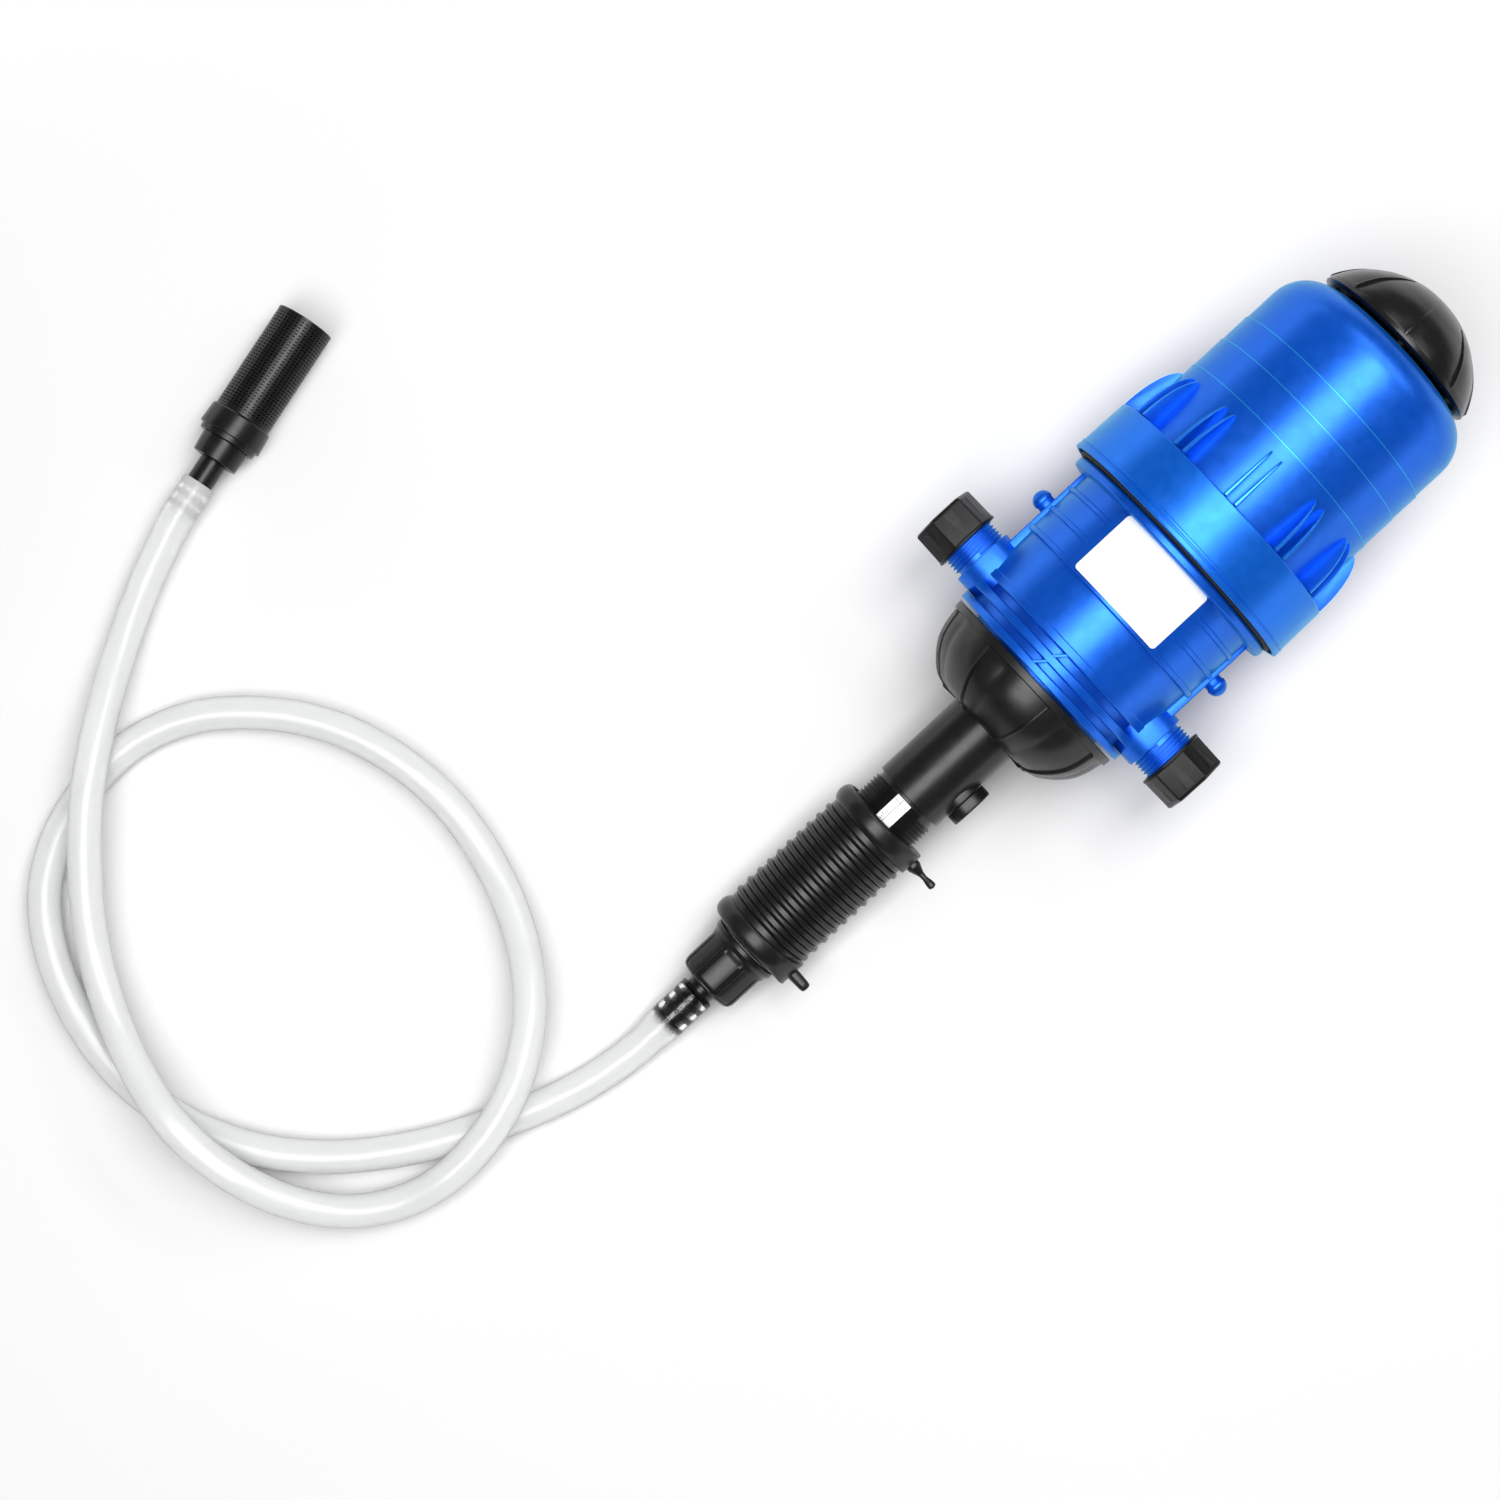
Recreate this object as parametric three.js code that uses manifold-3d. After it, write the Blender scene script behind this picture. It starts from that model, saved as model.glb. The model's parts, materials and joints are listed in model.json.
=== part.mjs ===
// Water-powered dosing injector with its suction hose and strainer, lying on a flat surface.
// Millimetres, +Z up. Each pump piece is drawn with the pump's axis along X: "s" is the distance along
// that axis from the underside of the blue body, positive towards the dome, and "r" the radius.
import * as THREE from 'three';
import { mergeVertices } from 'three/addons/utils/BufferGeometryUtils.js';
import Module from 'manifold-3d';

const wasm = await Module();
wasm.setup();

// ---- driving dimensions ----
const GAP = 0.3; // clearance between pieces that touch
const LARGE = 20; // flats round a large turned piece
const MEDIUM = 16; // flats round a tube-sized piece
const SMALL = 10; // flats round a rod or a small ring

const BELL_R = 54;
const BELL_UPPER_R = 53.8; // above the two moulded steps
const BELL_TOP = 208.3;
const SHOULDER_R = 18; // rounding of the bell's shoulder, across the axis
const SHOULDER_S = 19; // and along it
const BELL_WALL = 3.4;
const FIN_PAIRS = 12;
const FIN_SPACING = 6;
const RING_R = 63.7; // clamp ring, over its lower lip
const RING_LOW = 82;
const RING_TOP = 109.5;
const JOINT_S = 96; // where the bell meets the body
const BODY_R = 51;
const SKIRT_R = 49.5;
const PORT_S = 18.5;
const PORT_R = 13.2; // G3/4 male thread
const PORT_BORE_R = 10;
const PORT_END = 76;
const PORT_SHOULDER = 55.4;
const CAP_START = 65.2;
const CAP_END = 82.3;
const HEX_R = 15.9;
const DOME_R = 42.3;
const DOME_RIM = 210.8;
const DOME_TOP = 239.6;
const CUP_R = 48.4;
const TUBE_R = 17.8;
const TUBE_END = -77.5;
const THREAD_R = 17.3;
const BARREL_BORE = 13.6;
const SLEEVE_TOP = -102.9;
const SLEEVE_END = -164.3;
const SLEEVE_R = 21.4;
const SLEEVE_RIBS = 10;
const RIB_PITCH = 6;
const LOWER_BEAD_R = 23.2;
const LOWER_BEAD_END = -175.5;
const LOWER_BEAD_REST = -172.5; // where the bead touches the surface
const CYLINDER_R = 13.1;
const CYLINDER_BORE = 10.8;
const ROD_R = 4;
const NUT_TOP = -176;
const NUT_END = -201.8;
const BARB_END = -229.4;
const HOSE_R = 7.75;
const STRAINER_TURN = 15.4; // degrees from +X, seen from above
const COLLAR_R = 15.3;
const CAGE_R = 13.7;
const CAGE_END = 107.1;

// The pump lies on two rims: the lip of the clamp ring and the lower bead ring of the ratio sleeve.
const TILT = Math.atan2(RING_R - LOWER_BEAD_R, RING_LOW - LOWER_BEAD_REST);
const AXIS_HEIGHT = RING_R * Math.cos(TILT) - RING_LOW * Math.sin(TILT);

// ---- finishes ----
const finish = (color, roughness) => new THREE.MeshStandardMaterial({ color, roughness, metalness: 0 });
const finishes = {
  blue: finish(0x0a5bd8, 0.35),
  brightBlue: finish(0x2b7fe8, 0.35),
  black: finish(0x111213, 0.5),
  white: finish(0xf2f2ef, 0.5),
  natural: finish(0xd9d6cc, 0.45),
  rubber: finish(0x1b1b1c, 0.8),
  steel: new THREE.MeshStandardMaterial({ color: 0xb9bcc0, roughness: 0.3, metalness: 1 }),
  clear: finish(0xdfe6e6, 0.2),
};

// ---- solids ----
function manifoldOf(geometry) {
  const bare = geometry.clone();
  bare.deleteAttribute('normal');
  bare.deleteAttribute('uv');
  const merged = mergeVertices(bare, 1e-4);
  const solid = new wasm.Manifold(new wasm.Mesh({
    numProp: 3,
    vertProperties: merged.attributes.position.array,
    triVerts: new Uint32Array(merged.index.array),
  }));
  return solid;
}

function geometryOf(solid) {
  const mesh = solid.getMesh();
  const geometry = new THREE.BufferGeometry();
  geometry.setAttribute('position', new THREE.BufferAttribute(new Float32Array(mesh.vertProperties), 3));
  geometry.setIndex(new THREE.BufferAttribute(new Uint32Array(mesh.triVerts), 1));
  geometry.computeVertexNormals();
  return geometry;
}

const join = (...parts) => geometryOf(parts.map(manifoldOf).reduce((a, b) => a.add(b)));

const cut = (base, ...tools) => geometryOf(
  tools.map(manifoldOf).reduce((a, b) => a.subtract(b), manifoldOf(base)),
);

// A piece turned about the X axis from a profile of [s, r] points, in order round the section so that
// the outside is walked towards +s. Radii are measured to the flats.
function turned(profile, sides = LARGE) {
  const toFlats = 1 / Math.cos(Math.PI / sides);
  const points = profile.map(([s, r]) => new THREE.Vector2(r * toFlats, s));
  const onAxis = profile[0][1] === 0;
  if (!onAxis) points.push(points[0].clone());
  return new THREE.LatheGeometry(points, sides, Math.PI / sides).rotateZ(-Math.PI / 2);
}

const rod = (s0, s1, r, sides = SMALL) => turned([[s0, 0], [s0, r], [s1, r], [s1, 0]], sides);

const tube = (s0, s1, outer, inner, sides = MEDIUM) =>
  turned([[s0, inner], [s0, outer], [s1, outer], [s1, inner]], sides);

// A ring of round section about the axis.
function oRing(s, r, section, sides = LARGE) {
  const profile = [];
  for (let i = 0; i < 6; i += 1) {
    const a = (-i * Math.PI) / 3;
    profile.push([s - section * Math.cos(a), r - section * Math.sin(a)]);
  }
  return turned(profile, sides);
}

// Points on a quarter of an ellipse about (s, r), from angle a0 to a1 in degrees.
function ellipse(s, r, halfS, halfR, a0, a1, steps) {
  const points = [];
  for (let i = 0; i <= steps; i += 1) {
    const a = THREE.MathUtils.degToRad(a0 + ((a1 - a0) * i) / steps);
    points.push([s + halfS * Math.sin(a), r + halfR * Math.cos(a)]);
  }
  return points;
}

// Turns a geometry that was drawn about the X axis so that it points along +Y (side 1) or -Y (side -1).
const alongY = (geometry, side, s = 0) => geometry.rotateZ((side * Math.PI) / 2).translate(s, 0, 0);

// ---- housing ----
function bellCover() {
  const innerR = BELL_R - BELL_WALL;
  const shell = turned([
    [JOINT_S + 0.2, innerR], [JOINT_S + 0.2, 61.5], [106, 61.5], [106, BELL_R], [174.8, BELL_R],
    [175.2, BELL_UPPER_R],
    ...ellipse(BELL_TOP - SHOULDER_S, BELL_UPPER_R - SHOULDER_R, SHOULDER_S, SHOULDER_R, 0, 90, 6),
    [BELL_TOP, 13], [212, 13], [212, 6.5], [204.6, 6.5],
    ...ellipse(189.6, innerR - 15, 15, 15, 90, 0, 4),
  ]);
  return join(shell, ...bellFins());
}

// Pairs of curved gussets that stiffen the foot of the bell.
function bellFins() {
  const outline = new THREE.Shape([
    [RING_TOP + 0.5, BELL_R - 1.5], [RING_TOP + 0.5, 62.3], [118, 61.8], [126, 59.8], [132, 57],
    [137, BELL_R - 0.4], [137, BELL_R - 1.5],
  ].map(([s, r]) => new THREE.Vector2(s, r)));
  const fins = [];
  for (let i = 0; i < FIN_PAIRS; i += 1) {
    for (const side of [-1, 1]) {
      const fin = new THREE.ExtrudeGeometry(outline, { depth: 1.6, bevelEnabled: false });
      fin.translate(0, 0, (side * FIN_SPACING) / 2 - 0.8);
      fins.push(fin.rotateX(Math.PI / 2 + (i * 2 * Math.PI) / FIN_PAIRS));
    }
  }
  return fins;
}

const clampRing = () => turned([
  [RING_LOW, 61.9], [RING_LOW, RING_R], [84, RING_R], [84.6, 63.2], [108.6, 63.2], [RING_TOP, 62.4],
  [RING_TOP, BELL_R + 0.5], [106.4, BELL_R + 0.5], [106.4, 61.9],
]);

// The ported body: bead flange, label wall, port bosses and the ribbed skirt over the union thread.
function pumpBody() {
  let wall = turned([
    [-13.8, 15.8], [-13.8, 38.5], [0.2, 38.5], [0.2, 49.6], [3.2, 49.6], [3.2, 45], [8.2, 45], [8.2, 49.9],
    [11, 49.9], [11, 45], [15.9, 45], [15.9, 50.2], [18.8, 50.2], [18.8, SKIRT_R], [41, SKIRT_R],
    [43, BODY_R], [76.4, BODY_R], [77.2, 58], [78.8, 58.6], [80.6, 58], [81, 56], [84, 56], [84, 61.5],
    [JOINT_S - 0.2, 61.5], [JOINT_S - 0.2, 57.6], [92.2, 57.6], [92.2, 53.4], [JOINT_S - 0.2, 53.4],
    [JOINT_S - 0.2, 46.5], [26, 46.5], [26, 15.8],
  ]);
  for (const side of [-1, 1]) {
    wall = join(wall, portSpigot(side), sideStrip(side));
  }
  const bores = [-1, 1].map((side) => alongY(rod(36, PORT_END + 1, PORT_BORE_R, SMALL), side, PORT_S));
  return cut(wall, ...bores);
}

// Boss and G3/4 thread of one port, drawn solid from inside the skirt.
function portSpigot(side) {
  const thread = [];
  for (let y = PORT_SHOULDER + 1.8; y < PORT_END - 3; y += 3.6) {
    thread.push([y, 12.4], [y + 1.8, PORT_R]);
  }
  return alongY(turned([
    [40, 0], [40, 14.6], [PORT_SHOULDER, 14.6], [PORT_SHOULDER, 12.4], ...thread, [PORT_END - 1, 12.6],
    [PORT_END, 12.2], [PORT_END, 0],
  ], MEDIUM), side, PORT_S);
}

// Flat strip down the side of the body, which carries the bracket stud and runs into the port boss.
const sideStrip = (side) => new THREE.BoxGeometry(50, 4, 12).translate(PORT_S + 29, side * 50.6, 0);

const bracketStud = (side) => alongY(turned([
  [52.9, 0], [52.9, 4], [53.6, 4], [54.4, 4.5], [55.8, 4.7], [57.6, 4.4], [59.2, 3.3], [60.1, 1.7], [60.3, 0],
], SMALL), side, 55);

// Blank cap over a port: hexagon outside, plain clearance bore over the thread inside.
function portCap(side) {
  const flat = HEX_R * Math.cos(Math.PI / 6);
  const hexagon = turned([
    [CAP_START + 1, 0], [CAP_START + 1, flat], [CAP_END - 0.7, flat], [CAP_END, flat - 0.7], [CAP_END, 0],
  ], 6);
  const flange = rod(CAP_START, CAP_START + 1.6, HEX_R + 0.2, MEDIUM);
  const bore = rod(CAP_START - 1, CAP_END - 3, PORT_R + 0.35, MEDIUM);
  return alongY(cut(join(hexagon.rotateX(THREE.MathUtils.degToRad(10)), flange), bore), side, PORT_S);
}

// White name plate, left blank, bent to the wall of the body.
function labelPlate() {
  const half = THREE.MathUtils.degToRad(27);
  const outline = new THREE.Shape();
  outline.absarc(0, 0, BODY_R + 1.6, -half, half, false);
  outline.absarc(0, 0, BODY_R + 1, half, -half, true);
  return new THREE.ExtrudeGeometry(outline, { depth: 32.2, bevelEnabled: false, curveSegments: 8 })
    .rotateY(Math.PI / 2).rotateX(Math.PI).translate(43.7, 0, 0);
}

// Ribbed union nut that holds the injector to the body.
function unionCup() {
  return turned([
    [-32.1, TUBE_R + 0.6], [-32.1, 27], [-30.8, 31.4], [-28.8, 34.6], [-25.8, 38], [-19.2, 43.5],
    [-12.6, 46.2], [-4.5, 47.2], [-4.3, CUP_R], [-1.2, CUP_R], [-1.2, 39], [-14.2, 39], [-20, 37.6],
    [-28.6, 26], [-28.6, TUBE_R + 0.6],
  ]);
}

function injectorBarrel() {
  const thread = [];
  for (let s = -81; s > -116; s -= 4) {
    thread.unshift([s - 3, THREAD_R], [s - 2, 16.5]);
  }
  const barrel = turned([
    [-138, BARREL_BORE], [-138, 16.5], ...thread, [-81, 16], [TUBE_END, 16], [TUBE_END, TUBE_R],
    [-18.4, TUBE_R], [-18.4, 36], [-14.1, 36], [-14.1, BARREL_BORE],
  ], MEDIUM);
  const seat = new THREE.BoxGeometry(28, 8.9, 4).translate(-92.5, 0, 18.2);
  const plugBoss = alongY(tube(15.4, 18.4, 9, 5, SMALL), -1, -60.5);
  const plugHole = alongY(rod(12, 25, 6.3), -1, -60.5);
  return cut(join(barrel, plugBoss), seat, plugHole);
}

const scaleStrip = () => new THREE.BoxGeometry(27.2, 8.1, 0.5).translate(-92.5, 0, 16.8);

const sidePlug = () => alongY(turned([
  [14.6, 0], [14.6, 5.9], [18.8, 5.9], [18.8, 10.4], [22.8, 10.4], [23.4, 9.8], [23.4, 0],
], SMALL), -1, -60.5);

const rodGuide = () => tube(2, 22, 15.2, 6.2);

const rodSeal = () => oRing(12, 5.1, 0.65, SMALL);

// ---- motor piston and its valve gear ----
const CROWN = 124; // top of the piston's crown at the low end of its stroke
const PISTON_R = 48.4;
const VALVE_HOLES_R = 27;
const CARRIER_LOW = CROWN + 13;

// Four copies of a tool at the valve positions round the crown.
const atValves = (tool) => [0, 1, 2, 3].map((i) => tool.clone()
  .translate(0, 0, VALVE_HOLES_R).rotateX((i * Math.PI) / 2));

function motorPiston() {
  const shell = turned([
    [99, 43.6], [99, PISTON_R - 1], [CROWN - 9.6, PISTON_R - 1], [CROWN - 9.6, 45.4], [CROWN - 4.2, 45.4],
    [CROWN - 4.2, PISTON_R], [CROWN, PISTON_R], [CROWN, ROD_R + GAP], [102, ROD_R + GAP], [102, 9],
    [CROWN - 5.5, 9], [CROWN - 5.5, 43.6],
  ]);
  return cut(shell, ...atValves(rod(CROWN - 10, CROWN + 8, 5)));
}

const pistonSeal = () => turned([
  [CROWN - 9.2, 45.8], [CROWN - 9.2, 48], [CROWN - 7.4, 50.2], [CROWN - 4.6, 48.8], [CROWN - 4.6, 45.8],
]);

const plungerRod = () => rod(-140, CROWN - 1, ROD_R - 0.1);

const rodNut = () => turned([[CROWN + 0.4, 0], [CROWN + 0.4, 6.5], [CROWN + 6, 6.5], [CROWN + 6, 0]], 6);

const plungerHead = () => turned([
  [-152, 0], [-152, 9.2], [-149.4, 9.2], [-149.4, 7.4], [-145.6, 7.4], [-145.6, 9.2], [-142, 9.2],
  [-140.4, 6], [-140.4, 0],
], SMALL);

const plungerSeal = () => turned([[-149, 8.2], [-149, 10], [-147.5, 10.4], [-146, 10], [-146, 8.2]], MEDIUM);

// Ring plate that shifts the four poppets together, with its over-centre spring clip on top.
function valveCarrier() {
  const ring = tube(CARRIER_LOW, CARRIER_LOW + 3, 34, 20, LARGE);
  return cut(ring, ...atValves(rod(CARRIER_LOW - 5, CARRIER_LOW + 5, 2.3)));
}

// A poppet on its stem: the head is above the piston's crown on the inlet side, below it on the exhaust.
function poppet(index, headS) {
  const stem = rod(headS + 1, CARRIER_LOW + 5, 1.9, 8);
  const head = rod(headS, headS + 3, 7.4);
  return join(stem, head).translate(0, 0, VALVE_HOLES_R).rotateX((index * Math.PI) / 2);
}

function toggleSpring() {
  const foot = CARRIER_LOW + 3.9;
  const route = new THREE.CatmullRomCurve3([
    [foot, -24, -10], [foot + 5, -21, -8], [foot + 10, -12, -4], [foot + 12, 0, 0], [foot + 10, 12, 4],
    [foot + 5, 21, 8], [foot, 24, 10],
  ].map((p) => new THREE.Vector3(...p)));
  return tubeAlong(route, 0.9, 8, 16);
}

// ---- dosing barrel ----
function dosingCylinder() {
  return turned([
    [-186, CYLINDER_BORE], [-186, 12.6], [-176.5, 12.6], [-176.5, CYLINDER_R], [-168.1, CYLINDER_R],
    [-168.1, 17.2], [-164.9, 17.2], [-164.9, CYLINDER_R], [-68, CYLINDER_R], [-68, 11.9], [-65.6, 11.9],
    [-65.6, CYLINDER_R], [-61, CYLINDER_R], [-61, CYLINDER_BORE],
  ], MEDIUM);
}

const cylinderSeal = () => oRing(-66.8, 12.75, 0.6, MEDIUM);

const suctionNut = () => turned([
  [NUT_END, 7], [NUT_END, 11], [-200.6, 13.1], [-197.8, 14.9], [-194, 15.4], [-179.6, 15.9], [-178.6, 16.8],
  [NUT_TOP, 16.8], [NUT_TOP, 13.5], [-190.6, 13.5], [-198, 10.4], [-198, 7],
], MEDIUM);

const barbGasket = () => tube(-187.4, -186.3, 12.9, 6.6);

// Hose barb with a collar held by the suction nut.
function hoseBarb() {
  const fins = [];
  for (const s of [-227, -219, -211]) {
    fins.push([s, 5.6], [s + 2.6, 7.6], [s + 2.9, 5.6]);
  }
  return turned([
    [BARB_END, 3.4], [BARB_END, 5.6], ...fins, [-203, 5.6], [-203, 6.4], [-197.4, 6.4], [-197.4, 9.8],
    [-190.9, 12.7], [-187.7, 12.7], [-187.7, 3.4],
  ], MEDIUM);
}

const suctionPoppet = () => turned([
  [-184.6, 0], [-184.6, 5.4], [-183, 7.6], [-181.4, 7.6], [-181.4, 3], [-174, 3], [-174, 0],
], SMALL);

function suctionSpring() {
  const turns = 4;
  const low = -180.1;
  const high = -171;
  class Coil extends THREE.Curve {
    getPoint(t) {
      const a = t * turns * 2 * Math.PI;
      return new THREE.Vector3(low + (high - low) * t, 5 * Math.cos(a), 5 * Math.sin(a));
    }
  }
  return tubeAlong(new Coil(), 0.6, 6, turns * 10);
}

const springSeat = () => tube(-170, -168, CYLINDER_BORE - 0.4, 4.5);

// ---- ratio sleeve ----
function ratioSleeve() {
  const ribs = [];
  for (let i = SLEEVE_RIBS - 1; i >= 0; i -= 1) {
    const s = -106.4 - i * RIB_PITCH;
    ribs.push([s - 1.1, SLEEVE_R], [s, 22.5], [s + 1.1, SLEEVE_R]);
  }
  return turned([
    [SLEEVE_END, CYLINDER_R + 0.5], [SLEEVE_END, SLEEVE_R], ...ribs, [SLEEVE_TOP, SLEEVE_R],
    [SLEEVE_TOP, THREAD_R + 0.6], [-160.4, THREAD_R + 0.6], [-160.4, CYLINDER_R + 0.5],
  ], MEDIUM);
}

// Grip ring at one end of the sleeve: a round bead with a stop face that carries a tapered tail.
function gripRing(s0, s1, r, inner, innerLip, tail) {
  const middle = (s0 + s1) / 2;
  const half = (s1 - s0) / 2;
  const lip = innerLip ? [[s0, innerLip], [s0, r - 1.6]] : [[s0, inner], [s0, r - 1.6]];
  const bore = innerLip ? [[s1, inner], [s0 + 7, inner], [s0 + 7, innerLip]] : [[s1, inner]];
  const ring = turned([...lip, ...ellipse(middle, r - 2.6, half, 2.6, -55, 55, 4), [s1, r - 1.6], ...bore]);
  const block = new THREE.BoxGeometry(s1 - s0 - 0.4, 9, 7).translate(middle, -19.8, 0);
  const spike = alongY(turned(tail, SMALL), -1, middle);
  const solid = join(ring, block, spike);
  const clear = tube(s0 - 1, s1 + 1, inner, 1, LARGE);
  return innerLip ? join(cut(solid, clear), lipRing(s0, inner, innerLip)) : cut(solid, clear);
}

const lipRing = (s0, inner, innerLip) => tube(s0, s0 + 7, inner + 1, innerLip, LARGE);

const upperGripRing = () => gripRing(-102.6, -92, 23.6, THREAD_R + 0.6, 0, [
  [20, 0], [20, 3.6], [25.5, 2.9], [27.6, 1.3], [34, 1.2], [35, 2], [36.4, 1.9], [37.2, 0],
]);

const lowerGripRing = () => gripRing(LOWER_BEAD_END, -164.6, LOWER_BEAD_R, 17.9, CYLINDER_R + 0.5, [
  [20, 0], [20, 2.6], [29, 2.4], [31.2, 1.7], [32, 0],
]);

// ---- dome knob ----
const domeKnob = () => turned([
  [DOME_RIM, DOME_R - 3], [DOME_RIM, DOME_R], [DOME_RIM + 1.6, DOME_R], [217, 39.9], [220, 38.1], [223, 35.9],
  [226, 33.2], [229, 29.9], [232, 26], [235, 20.8], [238, 13], [DOME_TOP, 5], [DOME_TOP, 0], [222, 0],
  [222, 9], [232, 9], ...ellipse(DOME_RIM + 1, 0, 22.8, DOME_R - 5, 66, 6, 5),
]);

const knobStem = () => turned([
  [197, 0], [197, 5.9], [206, 5.9], [206, 4.4], [208.6, 4.4], [208.6, 5.9],
  [212.4, 5.9], [212.4, 8.4], [221.6, 8.4], [221.6, 0],
], SMALL);

const stemSeal = () => oRing(207.3, 5.4, 0.6, SMALL);

// ---- hose and strainer ----
// Centre line of the hose as it lies: out of the barb, one open loop, and back over itself.
// Each point is [x, y, height of the centre above the surface].
const HOSE_ROUTE = [
  [-259, 2, 9.4], [-277, 6, 8], [-295, 12, 7.8], [-331, 28, 7.8], [-356, 43, 7.8], [-378, 61, 7.8],
  [-398, 85, 7.8], [-412, 114, 7.8], [-418, 147, 7.8], [-415, 180, 7.8], [-405, 209, 7.8], [-390, 231, 7.8],
  [-369, 246, 7.8], [-343, 254, 7.8], [-315, 255, 7.8], [-288, 246, 7.8], [-264, 227, 7.8], [-245, 202, 7.8],
  [-233, 171, 7.8], [-229, 136, 7.8], [-235, 99, 8.4], [-247, 69, 13], [-265, 44, 20], [-289, 26, 24.2],
  [-314, 17, 24.2], [-340, 15, 20], [-364, 21, 14], [-384, 34, 13], [-400, 55, 17], [-410, 81, 22.4],
  [-414, 113, 24.4], [-410, 143, 21.6], [-401, 172, 17.6], [-386, 201, 18.2], [-365, 228, 22],
  [-341, 252, 24.4], [-312, 275, 19.4], [-288, 291, 13.4], [-264, 304, 13], [-246, 311.6, 14.6],
];
const STRAINER_POINT = [-232.4, 316.3]; // where the hose ends on the strainer's barb

function tubeAlong(curve, radius, sides, steps) {
  const section = new THREE.Shape();
  for (let i = 0; i < sides; i += 1) {
    const a = (i * 2 * Math.PI) / sides;
    const point = [radius * Math.cos(a), radius * Math.sin(a)];
    if (i) section.lineTo(...point);
    else section.moveTo(...point);
  }
  section.closePath();
  return new THREE.ExtrudeGeometry(section, { steps, bevelEnabled: false, extrudePath: curve });
}

const strainerBarb = () => tube(1.2, 30.8, 6.2, 3.4, SMALL);

const strainerHub = () => turned([
  [31.1, 3.4], [31.1, 10.8], [40.8, 11.4], [40.8, 3.4],
], MEDIUM);

const strainerCollar = () => turned([
  [41.1, 4], [41.1, 13.7], [43.9, 13.7], [44.1, COLLAR_R], [53.6, 14.8], [54.2, 14.2], [54.2, 11],
  [46, 11], [46, 4],
], MEDIUM);

// Cage of the strainer: a closed tube with a row of windows between its long ribs.
function filterCage() {
  const wall = turned([
    [54.5, 7], [54.5, CAGE_R], [CAGE_END - 0.6, CAGE_R], [CAGE_END, CAGE_R - 0.6], [CAGE_END, 0],
    [CAGE_END - 2.5, 0], [CAGE_END - 2.5, 10.6], [57.2, 10.6], [57.2, 7],
  ], MEDIUM);
  const windows = [0, 1, 2, 3].map((i) => new THREE.BoxGeometry(43, 5, 40)
    .translate(80.5, 0, 0).rotateX(((i + 0.5) * Math.PI) / 4));
  return cut(wall, ...windows);
}

// ---- assembly ----
const unit = new THREE.Group();
const pump = new THREE.Group();
const hoseGroup = new THREE.Group();
const strainer = new THREE.Group();
unit.add(pump, hoseGroup, strainer);

function add(group, name, geometry, material) {
  const mesh = new THREE.Mesh(geometry, material);
  mesh.name = name;
  group.add(mesh);
  return mesh;
}

add(pump, 'bell_cover', bellCover(), finishes.blue);
add(pump, 'clamp_ring', clampRing(), finishes.brightBlue);
add(pump, 'housing_seal', oRing(94.2, 55.5, 1.5), finishes.rubber);
add(pump, 'pump_body', pumpBody(), finishes.blue);
add(pump, 'bracket_stud_left', bracketStud(1), finishes.blue);
add(pump, 'bracket_stud_right', bracketStud(-1), finishes.blue);
add(pump, 'inlet_cap', portCap(1), finishes.black);
add(pump, 'outlet_cap', portCap(-1), finishes.black);
add(pump, 'label_plate', labelPlate(), finishes.white);
add(pump, 'union_cup', unionCup(), finishes.black);
add(pump, 'injector_barrel', injectorBarrel(), finishes.black);
add(pump, 'scale_strip', scaleStrip(), finishes.white);
add(pump, 'side_plug', sidePlug(), finishes.black);
add(pump, 'rod_guide', rodGuide(), finishes.natural);
add(pump, 'rod_seal', rodSeal(), finishes.rubber);
add(pump, 'motor_piston', motorPiston(), finishes.natural);
add(pump, 'piston_seal', pistonSeal(), finishes.rubber);
add(pump, 'plunger_rod', plungerRod(), finishes.steel);
add(pump, 'rod_nut', rodNut(), finishes.steel);
add(pump, 'plunger_head', plungerHead(), finishes.natural);
add(pump, 'plunger_seal', plungerSeal(), finishes.rubber);
add(pump, 'valve_carrier', valveCarrier(), finishes.natural);
add(pump, 'inlet_poppet_1', poppet(0, CROWN + 0.4), finishes.natural);
add(pump, 'inlet_poppet_2', poppet(2, CROWN + 0.4), finishes.natural);
add(pump, 'exhaust_poppet_1', poppet(1, CROWN - 14), finishes.natural);
add(pump, 'exhaust_poppet_2', poppet(3, CROWN - 14), finishes.natural);
add(pump, 'toggle_spring', toggleSpring(), finishes.steel);
add(pump, 'dosing_cylinder', dosingCylinder(), finishes.natural);
add(pump, 'cylinder_seal', cylinderSeal(), finishes.rubber);
add(pump, 'suction_nut', suctionNut(), finishes.black);
add(pump, 'barb_gasket', barbGasket(), finishes.rubber);
add(pump, 'hose_barb', hoseBarb(), finishes.black);
add(pump, 'suction_poppet', suctionPoppet(), finishes.natural);
add(pump, 'suction_spring', suctionSpring(), finishes.steel);
add(pump, 'spring_seat', springSeat(), finishes.natural);
add(pump, 'ratio_sleeve', ratioSleeve(), finishes.black);
add(pump, 'upper_grip_ring', upperGripRing(), finishes.black);
add(pump, 'lower_grip_ring', lowerGripRing(), finishes.black);
add(pump, 'dome_knob', domeKnob(), finishes.black);
add(pump, 'knob_stem', knobStem(), finishes.black);
add(pump, 'stem_seal', stemSeal(), finishes.rubber);

// Along the pump's axis, from s to a point in the part's frame before it is centred.
const onAxis = (s) => new THREE.Vector3(s * Math.cos(TILT), 0, AXIS_HEIGHT + s * Math.sin(TILT));

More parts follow.
